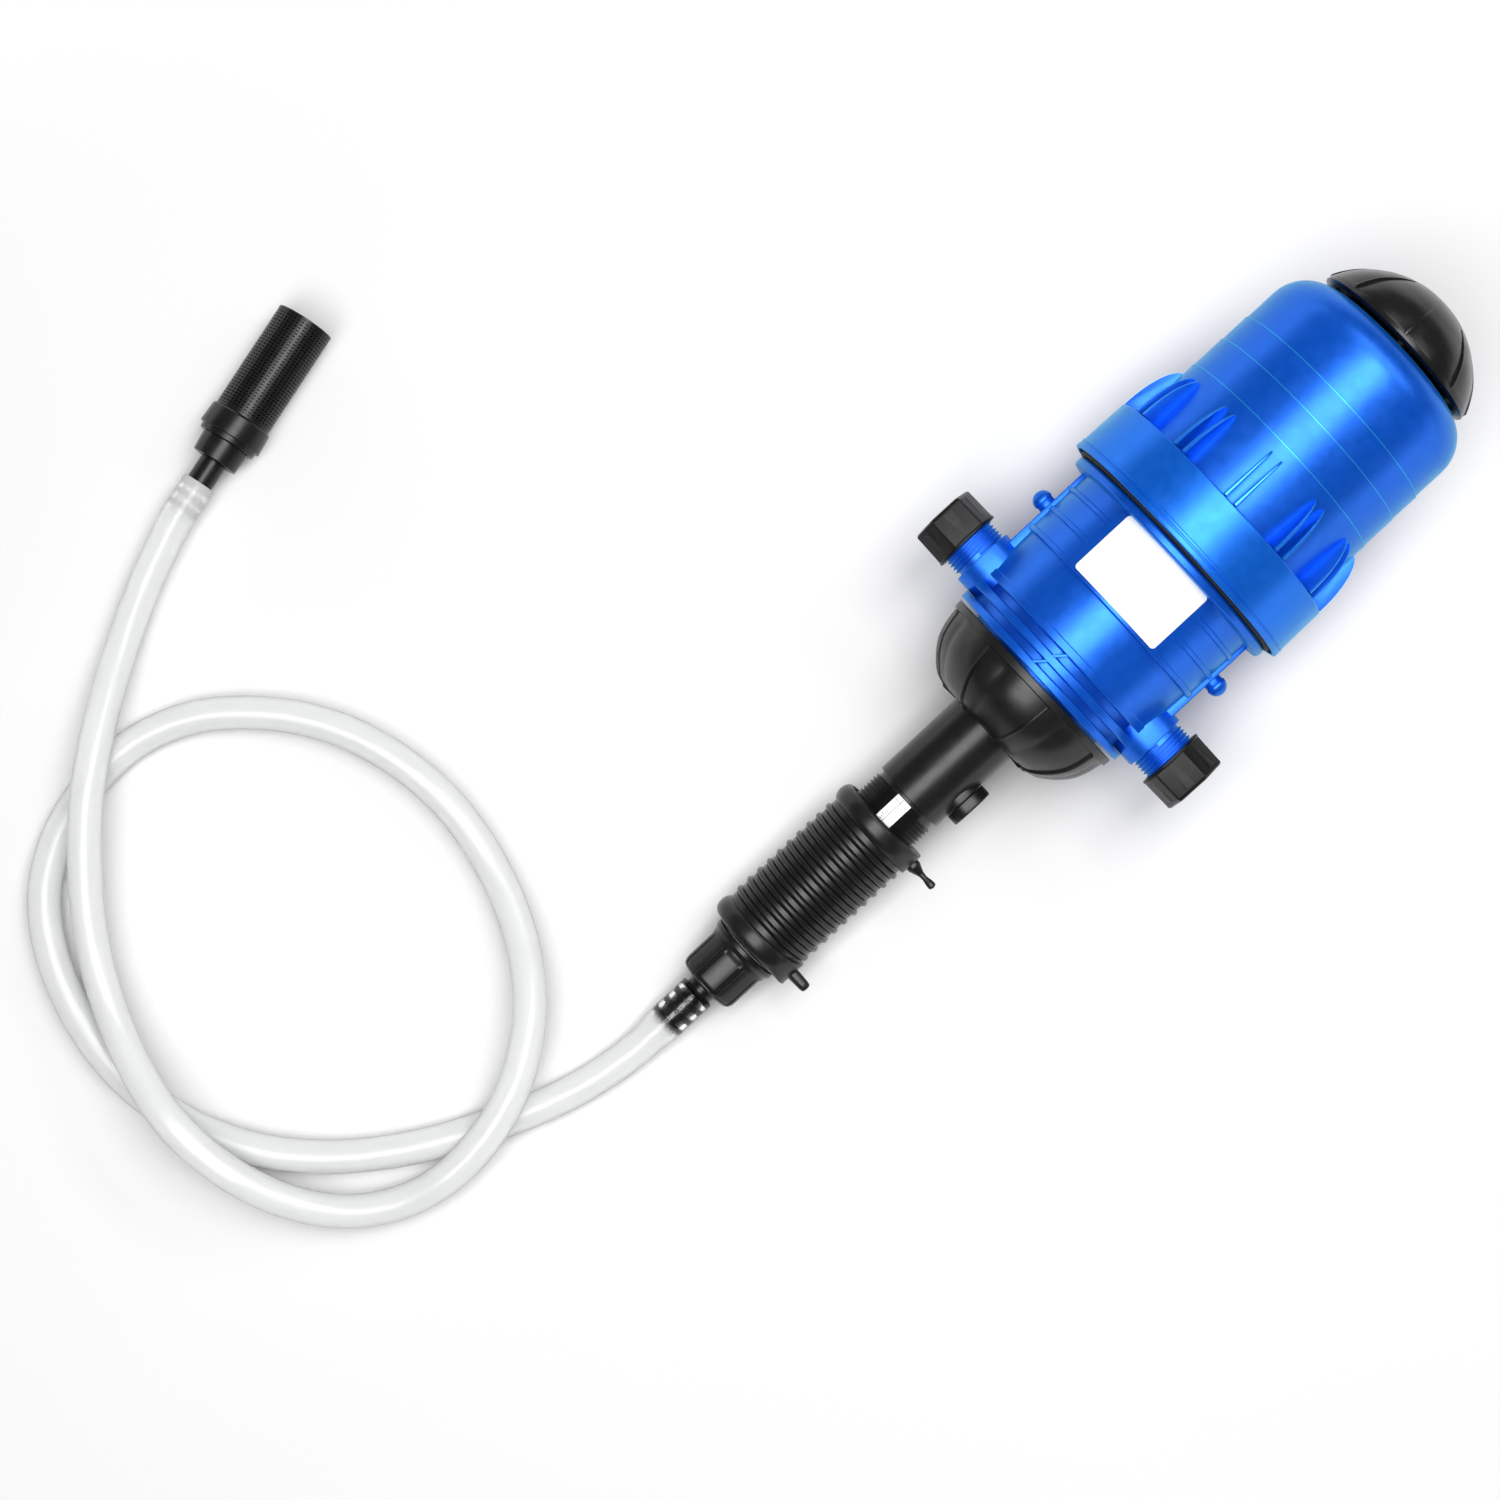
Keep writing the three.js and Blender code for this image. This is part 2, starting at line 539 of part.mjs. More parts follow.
const hoseStart = onAxis(BARB_END - GAP);
const hoseOut = onAxis(BARB_END - 14);
const hoseEnd = new THREE.Vector3(...STRAINER_POINT, COLLAR_R);
const hoseCurve = new THREE.CatmullRomCurve3([
  hoseStart, hoseOut, ...HOSE_ROUTE.map((p) => new THREE.Vector3(...p)), hoseEnd,
], false, 'centripetal');
add(hoseGroup, 'suction_hose', tubeAlong(hoseCurve, HOSE_R, 8, 64), finishes.clear);

add(strainer, 'strainer_barb', strainerBarb(), finishes.natural);
add(strainer, 'strainer_hub', strainerHub(), finishes.black);
add(strainer, 'strainer_collar', strainerCollar(), finishes.black);
add(strainer, 'filter_cage', filterCage(), finishes.black);
strainer.rotation.z = THREE.MathUtils.degToRad(STRAINER_TURN);
strainer.position.set(...STRAINER_POINT, COLLAR_R);

pump.rotation.y = -TILT;
pump.position.z = AXIS_HEIGHT;

// The origin is under the middle of the pump's box, on the surface it lies on.
const whole = new THREE.Group();
whole.add(unit);
whole.updateMatrixWorld(true);
const box = new THREE.Box3().setFromObject(pump, true);
unit.position.set(-(box.min.x + box.max.x) / 2, -(box.min.y + box.max.y) / 2, -box.min.z);

export default whole;
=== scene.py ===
"""Water-powered dosing injector with a clear suction hose and strainer, lying on a pale surface.

Laid out as an add-on: sizes and colours are properties, and each piece, or group of like pieces, has an
operator in the sidebar panel. Pieces are drawn in millimetres in the pump's own frame, where X is the
distance s along the pump's axis from the underside of the body, Y points to the inlet side and Z to the
front, and are then placed in the model's frame, in metres.
"""
import json
from math import asin, atan2, cos, exp, hypot, pi, radians, sin, tan, tau

import bmesh
import bpy
from bpy.props import FloatProperty, FloatVectorProperty, PointerProperty
from mathutils import Matrix, Vector


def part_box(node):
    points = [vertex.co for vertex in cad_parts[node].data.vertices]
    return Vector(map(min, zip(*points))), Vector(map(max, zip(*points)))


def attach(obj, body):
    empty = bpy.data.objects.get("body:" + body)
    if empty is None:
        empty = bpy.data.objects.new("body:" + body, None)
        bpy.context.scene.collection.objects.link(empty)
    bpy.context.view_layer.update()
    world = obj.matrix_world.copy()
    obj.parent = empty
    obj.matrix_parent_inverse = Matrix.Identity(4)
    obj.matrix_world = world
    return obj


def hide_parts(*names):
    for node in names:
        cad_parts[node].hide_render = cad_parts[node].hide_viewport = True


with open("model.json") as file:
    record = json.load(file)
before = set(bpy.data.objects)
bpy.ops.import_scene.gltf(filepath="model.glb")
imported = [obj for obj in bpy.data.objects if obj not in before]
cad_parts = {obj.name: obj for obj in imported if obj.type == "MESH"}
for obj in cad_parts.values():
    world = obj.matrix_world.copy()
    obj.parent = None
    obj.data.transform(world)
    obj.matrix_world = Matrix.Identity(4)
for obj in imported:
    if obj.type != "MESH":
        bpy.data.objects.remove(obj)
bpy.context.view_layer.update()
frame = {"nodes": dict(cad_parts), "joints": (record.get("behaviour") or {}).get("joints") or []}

bl_info = {
    "name": "Dosing injector",
    "version": (1, 0, 0),
    "blender": (4, 5, 0),
    "location": "3D View > Sidebar > Injector",
    "description": "Builds a water-powered dosing injector with its suction hose, piece by piece",
    "category": "Add Mesh",
}

MM = 0.001

# ---- the pump's frame and the strainer's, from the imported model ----
JOINTS = {joint["name"]: joint for joint in frame["joints"]}
AXIS = Vector(JOINTS["knob_turn"]["axis"]).normalized()
BELL_TOP = 208.3  # s of the knob joint's point, on the bell's flat top
ORIGIN = Vector(JOINTS["knob_turn"]["pos_m"]) - AXIS * BELL_TOP * MM
TILT = atan2(AXIS.z, AXIS.x)
PUMP = Matrix.Translation(ORIGIN) @ Matrix.Rotation(-TILT, 4, "Y") @ Matrix.Scale(MM, 4)


def middle(node):
    """Middle of a CAD node's box."""
    low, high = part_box(node)
    return (low + high) / 2


STRAINER_AXIS = (middle("filter_cage") - middle("strainer_hub")).normalized()
HUB_MIDDLE = 35.95  # mm from the end of the hose's CAD solid to the middle of the strainer's hub
STRAINER_START = middle("strainer_hub") - STRAINER_AXIS * HUB_MIDDLE * MM
STRAINER = (
    Matrix.Translation(STRAINER_START)
    @ Matrix.Rotation(atan2(STRAINER_AXIS.y, STRAINER_AXIS.x), 4, "Z")
    @ Matrix.Scale(MM, 4)
)

# ---- sizes shared by several pieces, in millimetres ----
RING_LOW, RING_TOP = 82, 109.5
PORT_S = 18.5
PORT_TURNS, PORT_PITCH = 10, 1.814  # of the pipe thread on each port
STUD_S = 55
PLUG_S = -60.5
CAP_START, CAP_END = 65.2, 82.3
DOME_RIM, DOME_TOP = 210.8, 239.6
SEAMS = 8  # of the union cup and of the domed knob
CUP_TURN, DOME_TURN = radians(15), radians(-2)
BARB_EDGES = (-210.6, -216.8, -223.2)
HOSE_START = -206.5
HOSE_STRAIGHT = (-229.7, -243.4)  # points on the pump's axis that the hose still follows past its barb
HOSE_SPACING = 0.003  # metres between the points of the hose's line
STRAINER_GRIP = 19  # the hose's reach over the strainer's barb
RIB_COUNT, RIB_PITCH = 10, 6  # of the ratio sleeve's grip ribs
CAGE_PITCH = 1.53  # of the hoops of the strainer's cage
CAGE_HOOPS = 33
CAGE_BARS = 40

# Centre line of the hose as it lies, in metres: out of the barb, one open loop, back over itself.
HOSE_ROUTE = [
    (-0.259, 0.002, 0.0094), (-0.277, 0.006, 0.008), (-0.295, 0.012, 0.0078), (-0.331, 0.028, 0.0078),
    (-0.356, 0.043, 0.0078), (-0.378, 0.061, 0.0078), (-0.398, 0.085, 0.0078), (-0.412, 0.114, 0.0078),
    (-0.418, 0.147, 0.0078), (-0.415, 0.180, 0.0078), (-0.405, 0.209, 0.0078), (-0.390, 0.231, 0.0078),
    (-0.369, 0.246, 0.0078), (-0.343, 0.254, 0.0078), (-0.315, 0.255, 0.0078), (-0.288, 0.246, 0.0078),
    (-0.264, 0.227, 0.0078), (-0.245, 0.202, 0.0078), (-0.233, 0.171, 0.0078), (-0.229, 0.136, 0.0078),
    (-0.235, 0.099, 0.0084), (-0.247, 0.069, 0.013), (-0.265, 0.044, 0.020), (-0.289, 0.026, 0.0242),
    (-0.314, 0.017, 0.0242), (-0.340, 0.015, 0.020), (-0.364, 0.021, 0.014), (-0.384, 0.034, 0.013),
    (-0.400, 0.055, 0.017), (-0.410, 0.081, 0.0224), (-0.414, 0.113, 0.0244), (-0.410, 0.143, 0.0216),
    (-0.401, 0.172, 0.0176), (-0.386, 0.201, 0.0182), (-0.365, 0.228, 0.022), (-0.341, 0.252, 0.0244),
    (-0.312, 0.275, 0.0194), (-0.288, 0.291, 0.0134), (-0.264, 0.304, 0.013), (-0.246, 0.3116, 0.0146),
]
ROUTE_SHIFT = Vector((ORIGIN.x, 0, 0))  # the route is measured from under the body's underside


# ---- properties ----
def length(name, default, description):
    return FloatProperty(
        name=name, description=description, default=default, min=0, unit="LENGTH", precision=4
    )


def colour(name, default, description):
    return FloatVectorProperty(
        name=name, description=description, default=default, min=0, max=1, size=3, subtype="COLOR"
    )


class InjectorSizes(bpy.types.PropertyGroup):
    """Sizes that a user may change, in metres."""

    bell_radius: length("Bell radius", 0.0537, "Outside radius of the bell under its shoulder")
    ring_radius: length("Clamp ring radius", 0.0637, "Radius over the clamp ring's lower lip")
    body_radius: length("Body radius", 0.051, "Radius of the body wall behind the label")
    skirt_radius: length("Skirt radius", 0.0494, "Radius of the lower part of the body")
    thread_radius: length("Port thread radius", 0.0132, "Crest radius of the port threads")
    cup_radius: length("Union cup radius", 0.0484, "Radius of the union cup's rim")
    tube_radius: length("Injector tube radius", 0.0178, "Radius of the black injector tube")
    sleeve_radius: length("Ratio sleeve radius", 0.0212, "Radius of the sleeve between its ribs")
    dome_radius: length("Dome radius", 0.0423, "Radius of the domed knob's rim")
    hose_diameter: length("Hose diameter", 0.0155, "Outside diameter of the hose")
    hose_wall: length("Hose wall", 0.0022, "Thickness of the hose's wall")


class InjectorColours(bpy.types.PropertyGroup):
    """Colours that a user may change."""

    housing: colour("Housing blue", (0.0003, 0.1, 0.69), "Bell and body")
    ring: colour("Ring blue", (0.001, 0.135, 0.76), "Clamp ring, a shade lighter than the housing")
    black: colour("Black", (0.006, 0.006, 0.006), "Cup, barrel, sleeve, knob and caps")
    plate: colour("Plate white", (0.9, 0.9, 0.9), "Label plate and scale")
    natural: colour("Natural plastic", (0.62, 0.6, 0.54), "Unpainted inner pieces")
    # Line blue is a lighter blue painted on the bell's thin step bands and gusset crests: a painted highlight
    # along those edges.
    line: colour("Line blue", (0.02, 0.3, 0.8), "Thin moulding lines of the bell, which catch the light")
    hose: colour("Hose tint", (0.96, 0.965, 0.97), "Milky tint of the hose")


# ---- materials ----
CLEAR_REACH = (0.019, 0.024)  # metres from the barb's root over which the clear hose turns milky
MILKY_TRANSMISSION = 0.55


def new_material(name):
    """A material, its node tree's maker and its shader."""
    material = bpy.data.materials.new(name)
    material.use_nodes = True
    tree = material.node_tree
    return material, tree, tree.nodes["Principled BSDF"]


def set_inputs(node, values):
    """Sets a node's unlinked inputs by name."""
    for name, value in values.items():
        node.inputs[name].default_value = value


def noise(tree, scale, detail=2.0, roughness=0.5):
    """Noise over the piece's own coordinates. scale is in waves per metre."""
    place = tree.nodes.new("ShaderNodeTexCoord")
    pattern = tree.nodes.new("ShaderNodeTexNoise")
    set_inputs(pattern, {"Scale": scale, "Detail": detail, "Roughness": roughness, "Distortion": 0.0})
    tree.links.new(place.outputs["Object"], pattern.inputs["Vector"])
    return pattern.outputs["Fac"]


def span(tree, value, start, end, low, high):
    """A value from start to end, mapped to low..high."""
    node = tree.nodes.new("ShaderNodeMapRange")
    set_inputs(node, {"From Min": start, "From Max": end, "To Min": low, "To Max": high})
    tree.links.new(value, node.inputs["Value"])
    return node


def spread(tree, value, low, high, socket):
    """Links a noise value to a socket as low..high."""
    tree.links.new(span(tree, value, 0.3, 0.7, low, high).outputs["Result"], socket)


def blend(tree, value, shader, first, last, start=0.3, end=0.7):
    """Links a 0..1 value to the base colour, from the first colour to the last one."""
    ramp = tree.nodes.new("ShaderNodeValToRGB")
    for stop, position, tint in zip(ramp.color_ramp.elements, (start, end), (first, last)):
        stop.position = position
        stop.color = (*tint, 1)
    tree.links.new(value, ramp.inputs["Fac"])
    tree.links.new(ramp.outputs["Color"], shader.inputs["Base Color"])


def shade(tree, value, shader, base, change):
    """Varies the base colour a little, darker and lighter by the share given."""
    darker = [c * (1 - change) for c in base]
    lighter = [min(1, c * (1 + change)) for c in base]
    blend(tree, value, shader, darker, lighter)


def bumps(tree, shader, layers):
    """Stacks bump layers of (height value, depth in metres)."""
    last = None
    for value, depth in layers:
        bump = tree.nodes.new("ShaderNodeBump")
        set_inputs(bump, {"Strength": 1.0, "Distance": depth})
        tree.links.new(value, bump.inputs["Height"])
        if last:
            tree.links.new(last, bump.inputs["Normal"])
        last = bump.outputs["Normal"]
    tree.links.new(last, shader.inputs["Normal"])


def moulded(name, base, roughness, change=0.08, grain=(2600, 0.00002), ripple=(60, 0.00008), ior=1.43):
    """Moulded plastic: colour that drifts a little, patchy gloss, surface grain and a faint ripple."""
    material, tree, shader = new_material(name)
    slow = noise(tree, 22, 3)
    shade(tree, slow, shader, base, change)
    spread(tree, noise(tree, 170, 4, 0.6), roughness * 0.86, roughness * 1.14, shader.inputs["Roughness"])
    bumps(tree, shader, [(noise(tree, ripple[0], 2), ripple[1]), (noise(tree, grain[0], 3, 0.6), grain[1])])
    shader.inputs["IOR"].default_value = ior
    return material


def glossy_blue(name, base):
    """Blue moulded plastic, whose pigment tints its reflections too."""
    material = moulded(name, base, 0.34, 0.05, ripple=(45, 0.0001), ior=1.6)
    set_inputs(material.node_tree.nodes["Principled BSDF"], {
        "Metallic": 0.6, "Specular IOR Level": 1.0, "Specular Tint": (0.5, 0.95, 0.6, 1),
        "Sheen Weight": 0.2, "Sheen Roughness": 0.3, "Sheen Tint": (0.05, 0.6, 1.0, 1),
    })
    return material


def turned_steel(name):
    """Stainless steel with a fine random scratch."""
    material, tree, shader = new_material(name)
    shade(tree, noise(tree, 300, 4), shader, (0.58, 0.59, 0.6), 0.1)
    spread(tree, noise(tree, 900, 4, 0.7), 0.22, 0.4, shader.inputs["Roughness"])
    bumps(tree, shader, [(noise(tree, 4000, 2), 0.000005)])
    shader.inputs["Metallic"].default_value = 1.0
    return material


def fade(tree, distance, near, far):
    """A smooth step over the distance at which the hose leaves the barb, from near to far."""
    step = span(tree, distance, *CLEAR_REACH, near, far)
    step.interpolation_type = "SMOOTHSTEP"
    return step.outputs["Result"]


def milky_hose(name, base, clear_end):
    """Milky hose, which is clear where it is stretched thin over the barb at clear_end."""
    material, tree, shader = new_material(name)
    spread(tree, noise(tree, 90, 3), 0.1, 0.16, shader.inputs["Roughness"])
    bumps(tree, shader, [(noise(tree, 140, 2), 0.00008), (noise(tree, 1500, 2), 0.00001)])
    place = tree.nodes.new("ShaderNodeTexCoord")
    measure = tree.nodes.new("ShaderNodeVectorMath")
    measure.operation = "DISTANCE"
    measure.inputs[1].default_value = clear_end
    tree.links.new(place.outputs["Object"], measure.inputs[0])
    distance = measure.outputs["Value"]
    tree.links.new(fade(tree, distance, 1.0, MILKY_TRANSMISSION), shader.inputs["Transmission Weight"])
    blend(tree, fade(tree, distance, 0.0, 1.0), shader, (0.98, 0.98, 0.98), base, 0, 1)
    shader.inputs["IOR"].default_value = 1.33
    return material


def finishes():
    """All materials by name, made once."""
    tints = bpy.context.scene.injector_colours
    fine = (1800, 0.000006)  # grain of polished plastic
    makers = {
        "housing_blue": lambda n: glossy_blue(n, tints.housing),
        "ring_blue": lambda n: glossy_blue(n, tints.ring),
        # A lighter blue for the bell's thin bands and crests: painted highlight.
        "painted_highlight_blue": lambda n: glossy_blue(n, tints.line),
        "gloss_black": lambda n: moulded(n, tints.black, 0.26, 0.2, fine),
        "deep_black": lambda n: moulded(n, tints.black, 0.3, 0.2, fine, ior=1.25),
        "satin_black": lambda n: moulded(n, tints.black, 0.32, 0.25, grain=(1500, 0.000012)),
        "plate_white": lambda n: moulded(n, tints.plate, 0.4, 0.015, grain=(3000, 0.000006)),
        "mark_grey": lambda n: moulded(n, (0.06, 0.06, 0.065), 0.5, 0.2),
        "bare_plastic": lambda n: moulded(n, tints.natural, 0.42, 0.06),
        "rubber": lambda n: moulded(n, (0.012, 0.012, 0.012), 0.7, 0.3, grain=(2200, 0.00003)),
        "turned_steel": turned_steel,
        "clear_pvc": lambda n: milky_hose(n, tints.hose, PUMP @ Vector((HOSE_START, 0, 0))),
    }
    return {name: bpy.data.materials.get(name) or make(name) for name, make in makers.items()}


# Slot and material of the common finishes.
BLUE = ("blue_housing", "housing_blue")
SATIN = ("black_satin", "satin_black")
DULL = ("black_gloss", "satin_black")
GLOSS = ("black_gloss", "gloss_black")
WHITE = ("white_label", "plate_white")


# ---- shaping ----
def rounded(corners, steps=4):
    """A profile from (s, r) corners. A corner given as (s, r, radius) is rounded by an arc."""
    profile = []
    for i, corner in enumerate(corners):
        here = Vector(corner[:2])
        if len(corner) == 2:
            profile.append(here)
            continue
        back = (Vector(corners[i - 1][:2]) - here).normalized()
        ahead = (Vector(corners[(i + 1) % len(corners)][:2]) - here).normalized()
        half = back.angle(ahead) / 2
        centre = here + (back + ahead).normalized() * corner[2] / sin(half)
        first = here + back * corner[2] / tan(half) - centre
        last = here + ahead * corner[2] / tan(half) - centre
        profile += [centre + first.slerp(last, k / steps).normalized() * corner[2] for k in range(steps + 1)]
    return [tuple(point) for point in profile]


def arc(s, r, radius, start, end, steps=8, squash=1.0):
    """Points on an arc about (s, r). Angle 0 is outwards and 90 is towards +s, in degrees."""
    angles = [radians(start + (end - start) * k / steps) for k in range(steps + 1)]
    return [(s + radius * sin(a), r + radius * squash * cos(a)) for a in angles]


def spin(bm, profile, steps=96, angle=tau, start=0.0, pitch=0.0):
    """Spins a closed profile of (s, r) about the X axis, and gives back the new vertices.

    A profile with two ends on the axis is left open, so that its ends close into poles. A part turn or
    a pitch makes a solid with end faces.
    """
    part = bmesh.new()
    verts = [part.verts.new((s, 0, r)) for s, r in profile]
    full = angle == tau and not pitch
    on_axis = full and abs(profile[0][1]) < 1e-9 and abs(profile[-1][1]) < 1e-9
    edges = [part.edges.new(pair) for pair in zip(verts, verts[1:])]
    if not on_axis:
        edges.append(part.edges.new((verts[-1], verts[0])))
    geometry = verts + edges
    if not full:
        geometry.append(part.faces.new(verts))
    swing(part, verts, start)
    bmesh.ops.spin(
        part, geom=geometry, cent=(0, 0, 0), axis=(1, 0, 0), dvec=(pitch * angle / tau / steps, 0, 0),
        angle=angle, steps=steps, use_merge=full, use_duplicate=False,
    )
    bmesh.ops.remove_doubles(part, verts=part.verts[:], dist=1e-5)
    return join(bm, part)


def swing(bm, verts, angle):
    """Turns vertices about the X axis."""
    bmesh.ops.rotate(bm, verts=verts, cent=(0, 0, 0), matrix=Matrix.Rotation(angle, 3, "X"))


def new_verts(made):
    """The vertices that an extrude or a duplicate has made."""
    return [v for v in made["geom"] if isinstance(v, bmesh.types.BMVert)]


def join(bm, part):
    """Moves a shape into another one, and gives back its vertices there."""
    mesh = bpy.data.meshes.new("part")
    part.to_mesh(mesh)
    part.free()
    before = set(bm.verts)
    bm.from_mesh(mesh)
    bpy.data.meshes.remove(mesh)
    return [v for v in bm.verts if v not in before]


def round_edges(bm, edges, radius, steps):
    """Rounds edges off, and gives back the vertices of the new faces."""
    made = bmesh.ops.bevel(
        bm, geom=edges, offset=radius, offset_type="OFFSET", segments=steps, profile=0.5, affect="EDGES",
        material=-1, clamp_overlap=True,
    )
    return [v for f in made["faces"] for v in f.verts]


def block(bm, low, high, bevel=0.0):
    """A box between two corners, with its edges rounded, and its vertices."""
    low, high = Vector(low), Vector(high)
    size = Matrix.Diagonal((*(high - low), 1))
    made = bmesh.ops.create_cube(bm, size=1, matrix=Matrix.Translation((low + high) / 2) @ size)
    verts = made["verts"]
    if bevel:
        edges = list({e for v in verts for e in v.link_edges})
        verts = round_edges(bm, edges, bevel, 3) + [v for v in verts if v.is_valid]
    return list(set(verts))


def plate(bm, outline, thickness, bevel=0.0):
    """A flat plate from a closed outline of (x, z) points, centred on y = 0, edges rounded."""
    face = bm.faces.new([bm.verts.new((x, -thickness / 2, z)) for x, z in outline])
    made = bmesh.ops.extrude_face_region(bm, geom=[face], use_keep_orig=True)
    top = new_verts(made)
    bmesh.ops.translate(bm, verts=top, vec=(0, thickness, 0))
    verts = list(face.verts) + top
    if bevel:
        edges = {e for v in verts for e in v.link_edges}
        rims = [e for e in edges if abs(e.verts[0].co.y - e.verts[1].co.y) < 1e-6]
        verts = round_edges(bm, rims, bevel, 2) + [v for v in verts if v.is_valid]
    return list(set(verts))


def round_copies(bm, verts, angles):
    """Copies of a shape turned about the X axis to each angle; the first one moves to the first angle."""
    faces = list({f for v in verts for f in v.link_faces})
    for angle in angles[1:]:
        swing(bm, new_verts(bmesh.ops.duplicate(bm, geom=faces)), angle)
    swing(bm, verts, angles[0])


def aim_sideways(bm, verts, side, s):
    """Turns a shape drawn about the X axis to point along +Y or -Y, at s along the pump."""
    turn = Matrix.Translation((s, 0, 0)) @ Matrix.Rotation(side * pi / 2, 4, "Z")
    bmesh.ops.transform(bm, matrix=turn, verts=verts)


def new_object(name, bm, material):
    """An object in the scene from a shape, with one material."""
    mesh = bpy.data.meshes.new(name)
    bm.to_mesh(mesh)
    bm.free()
    made = bpy.data.objects.new(name, mesh)
    bpy.context.scene.collection.objects.link(made)
    mesh.materials.append(material)
    return made


def finish_piece(name, bm, body, nodes, slot, material, place=PUMP, sharp=32):
    """Places the shape in the model's frame, makes the object, hangs it on its body and hides the CAD parts
    it stands for.
    """
    bmesh.ops.recalc_face_normals(bm, faces=bm.faces[:])
    bmesh.ops.transform(bm, matrix=place, verts=bm.verts[:])
    for face in bm.faces:
        face.smooth = True
    for edge in bm.edges:
        edge.smooth = edge.calc_face_angle(0) < radians(sharp)
    piece = new_object(name, bm, finishes()[material])
    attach(piece, body)
    if nodes:
        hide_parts(*nodes)
    return piece


def turned(name, corners, steps, *said, sideways=None):
    """A piece that is one rounded profile spun about the axis, or about a side axis at sideways."""
    bm = bmesh.new()
    verts = spin(bm, rounded(corners), steps)
    if sideways:
        aim_sideways(bm, verts, *sideways)
    finish_piece(name, bm, *said)


def sizes_mm():
    """The user's sizes as a plain name-to-millimetres table."""
    group = bpy.context.scene.injector_sizes
    return {name: getattr(group, name) / MM for name in InjectorSizes.__annotations__}


# ---- stage: floor, light and camera ----
CAMERA_DISTANCE = 1.4
CAMERA_FOCUS = Vector((-115.3, 63.4, 0))  # point of the pump's own plane in the middle of the view, mm
CAMERA_ROLL = radians(-42.74)
LENS = 75.68  # mm on a 36 mm sensor
LIGHTS = [  # name, place and target in the pump's frame (mm), size (mm), watts
    ("overhead_softbox", (260, 0, 1600), (260, 0, 0), (2600, 800), 48),
    ("head_light", (1300, 0, 800), (100, 0, 0), (240, 1500), 5),
    ("left_strip", (-60, 700, 40), (-60, 0, 20), (1600, 160), 1.1),
    ("right_strip", (-60, -700, 40), (-60, 0, 20), (1600, 160), 1.1),
]


class INJECTOR_OT_stage(bpy.types.Operator):
    """Pale floor, soft studio lights and the camera"""

    bl_idname = "injector.stage"
    bl_label = "Stage"

    def execute(self, context):
        self.floor()
        self.lights()
        self.camera(context)
        return {"FINISHED"}

    def floor(self):
        bm = bmesh.new()
        bmesh.ops.create_grid(bm, x_segments=1, y_segments=1, size=4)
        material, tree, shader = new_material("pale_floor")
        shade(tree, noise(tree, 3, 2), shader, (0.7, 0.7, 0.7), 0.01)
        set_inputs(shader, {"Roughness": 0.8, "Specular IOR Level": 0.2})
        new_object("floor", bm, material)

    def lights(self):
        for name, place, target, size, watts in LIGHTS:
            lamp = bpy.data.lights.new(name, "AREA")
            lamp.shape = "RECTANGLE"
            lamp.size, lamp.size_y = size[0] * MM, size[1] * MM
            lamp.energy = watts
            holder = bpy.data.objects.new(name, lamp)
            start, end = PUMP @ Vector(place), PUMP @ Vector(target)
            back = (start - end).normalized()
            side = AXIS - back * AXIS.dot(back)
            side = side.normalized() if side.length > 0.2 else Vector((0, 1, 0))
            up = back.cross(side)
            holder.matrix_world = Matrix.Translation(start) @ Matrix((side, up, back)).transposed().to_4x4()
            bpy.context.scene.collection.objects.link(holder)
        world = bpy.data.worlds.new("studio")
        world.use_nodes = True
        set_inputs(world.node_tree.nodes["Background"], {"Color": (1, 1, 1, 1), "Strength": 0.1})
        bpy.context.scene.world = world

    def camera(self, context):
        data = bpy.data.cameras.new("camera")
        data.sensor_width = 36
        data.lens = LENS
        front = PUMP.to_3x3() @ Vector((0, 0, 1))
        eye = ORIGIN + front.normalized() * CAMERA_DISTANCE
        ahead = (PUMP @ CAMERA_FOCUS - eye).normalized()
        right = ahead.cross(Vector((0, 1, 0))).normalized()
        up = right.cross(ahead)
        turned_right = right * cos(CAMERA_ROLL) + up * sin(CAMERA_ROLL)
        turned_up = up * cos(CAMERA_ROLL) - right * sin(CAMERA_ROLL)
        camera = bpy.data.objects.new("camera", data)
        turn = Matrix((turned_right, turned_up, -ahead)).transposed().to_4x4()
        camera.matrix_world = Matrix.Translation(eye) @ turn
        context.scene.collection.objects.link(camera)
        context.scene.camera = camera
        context.scene.view_settings.view_transform = "Standard"


# ---- hose and strainer ----
def through(points, spacing):
    """Points on a centripetal Catmull-Rom curve through the given points, about spacing apart."""
    ends = [points[0] * 2 - points[1], *points, points[-1] * 2 - points[-2]]
    path = []
    for a, b, c, d in zip(ends, ends[1:], ends[2:], ends[3:]):
        knots = [0.0]
        for p, q in ((a, b), (b, c), (c, d)):
            knots.append(knots[-1] + (q - p).length ** 0.5)
        t0, t1, t2, t3 = knots
        steps = max(2, round((c - b).length / spacing))
        for k in range(steps):
            t = t1 + (t2 - t1) * k / steps
            ab = a.lerp(b, (t - t0) / (t1 - t0))
            bc = b.lerp(c, (t - t1) / (t2 - t1))
            cd = c.lerp(d, (t - t2) / (t3 - t2))
            abc = ab.lerp(bc, (t - t0) / (t2 - t0))
            bcd = bc.lerp(cd, (t - t1) / (t3 - t1))
            path.append(abc.lerp(bcd, (t - t1) / (t2 - t1)))
    return path + [points[-1]]


def hose_points():
    """The hose's route with its two straight ends, over the pump's barb and over the strainer's."""
    near = [PUMP @ Vector((s, 0, 0)) for s in (HOSE_START, *HOSE_STRAIGHT)]
    loose = [Vector(point) + ROUTE_SHIFT for point in HOSE_ROUTE]
    far = [STRAINER @ Vector((x, 0, 0)) for x in (0, STRAINER_GRIP)]
    return through(near + loose + far, HOSE_SPACING)


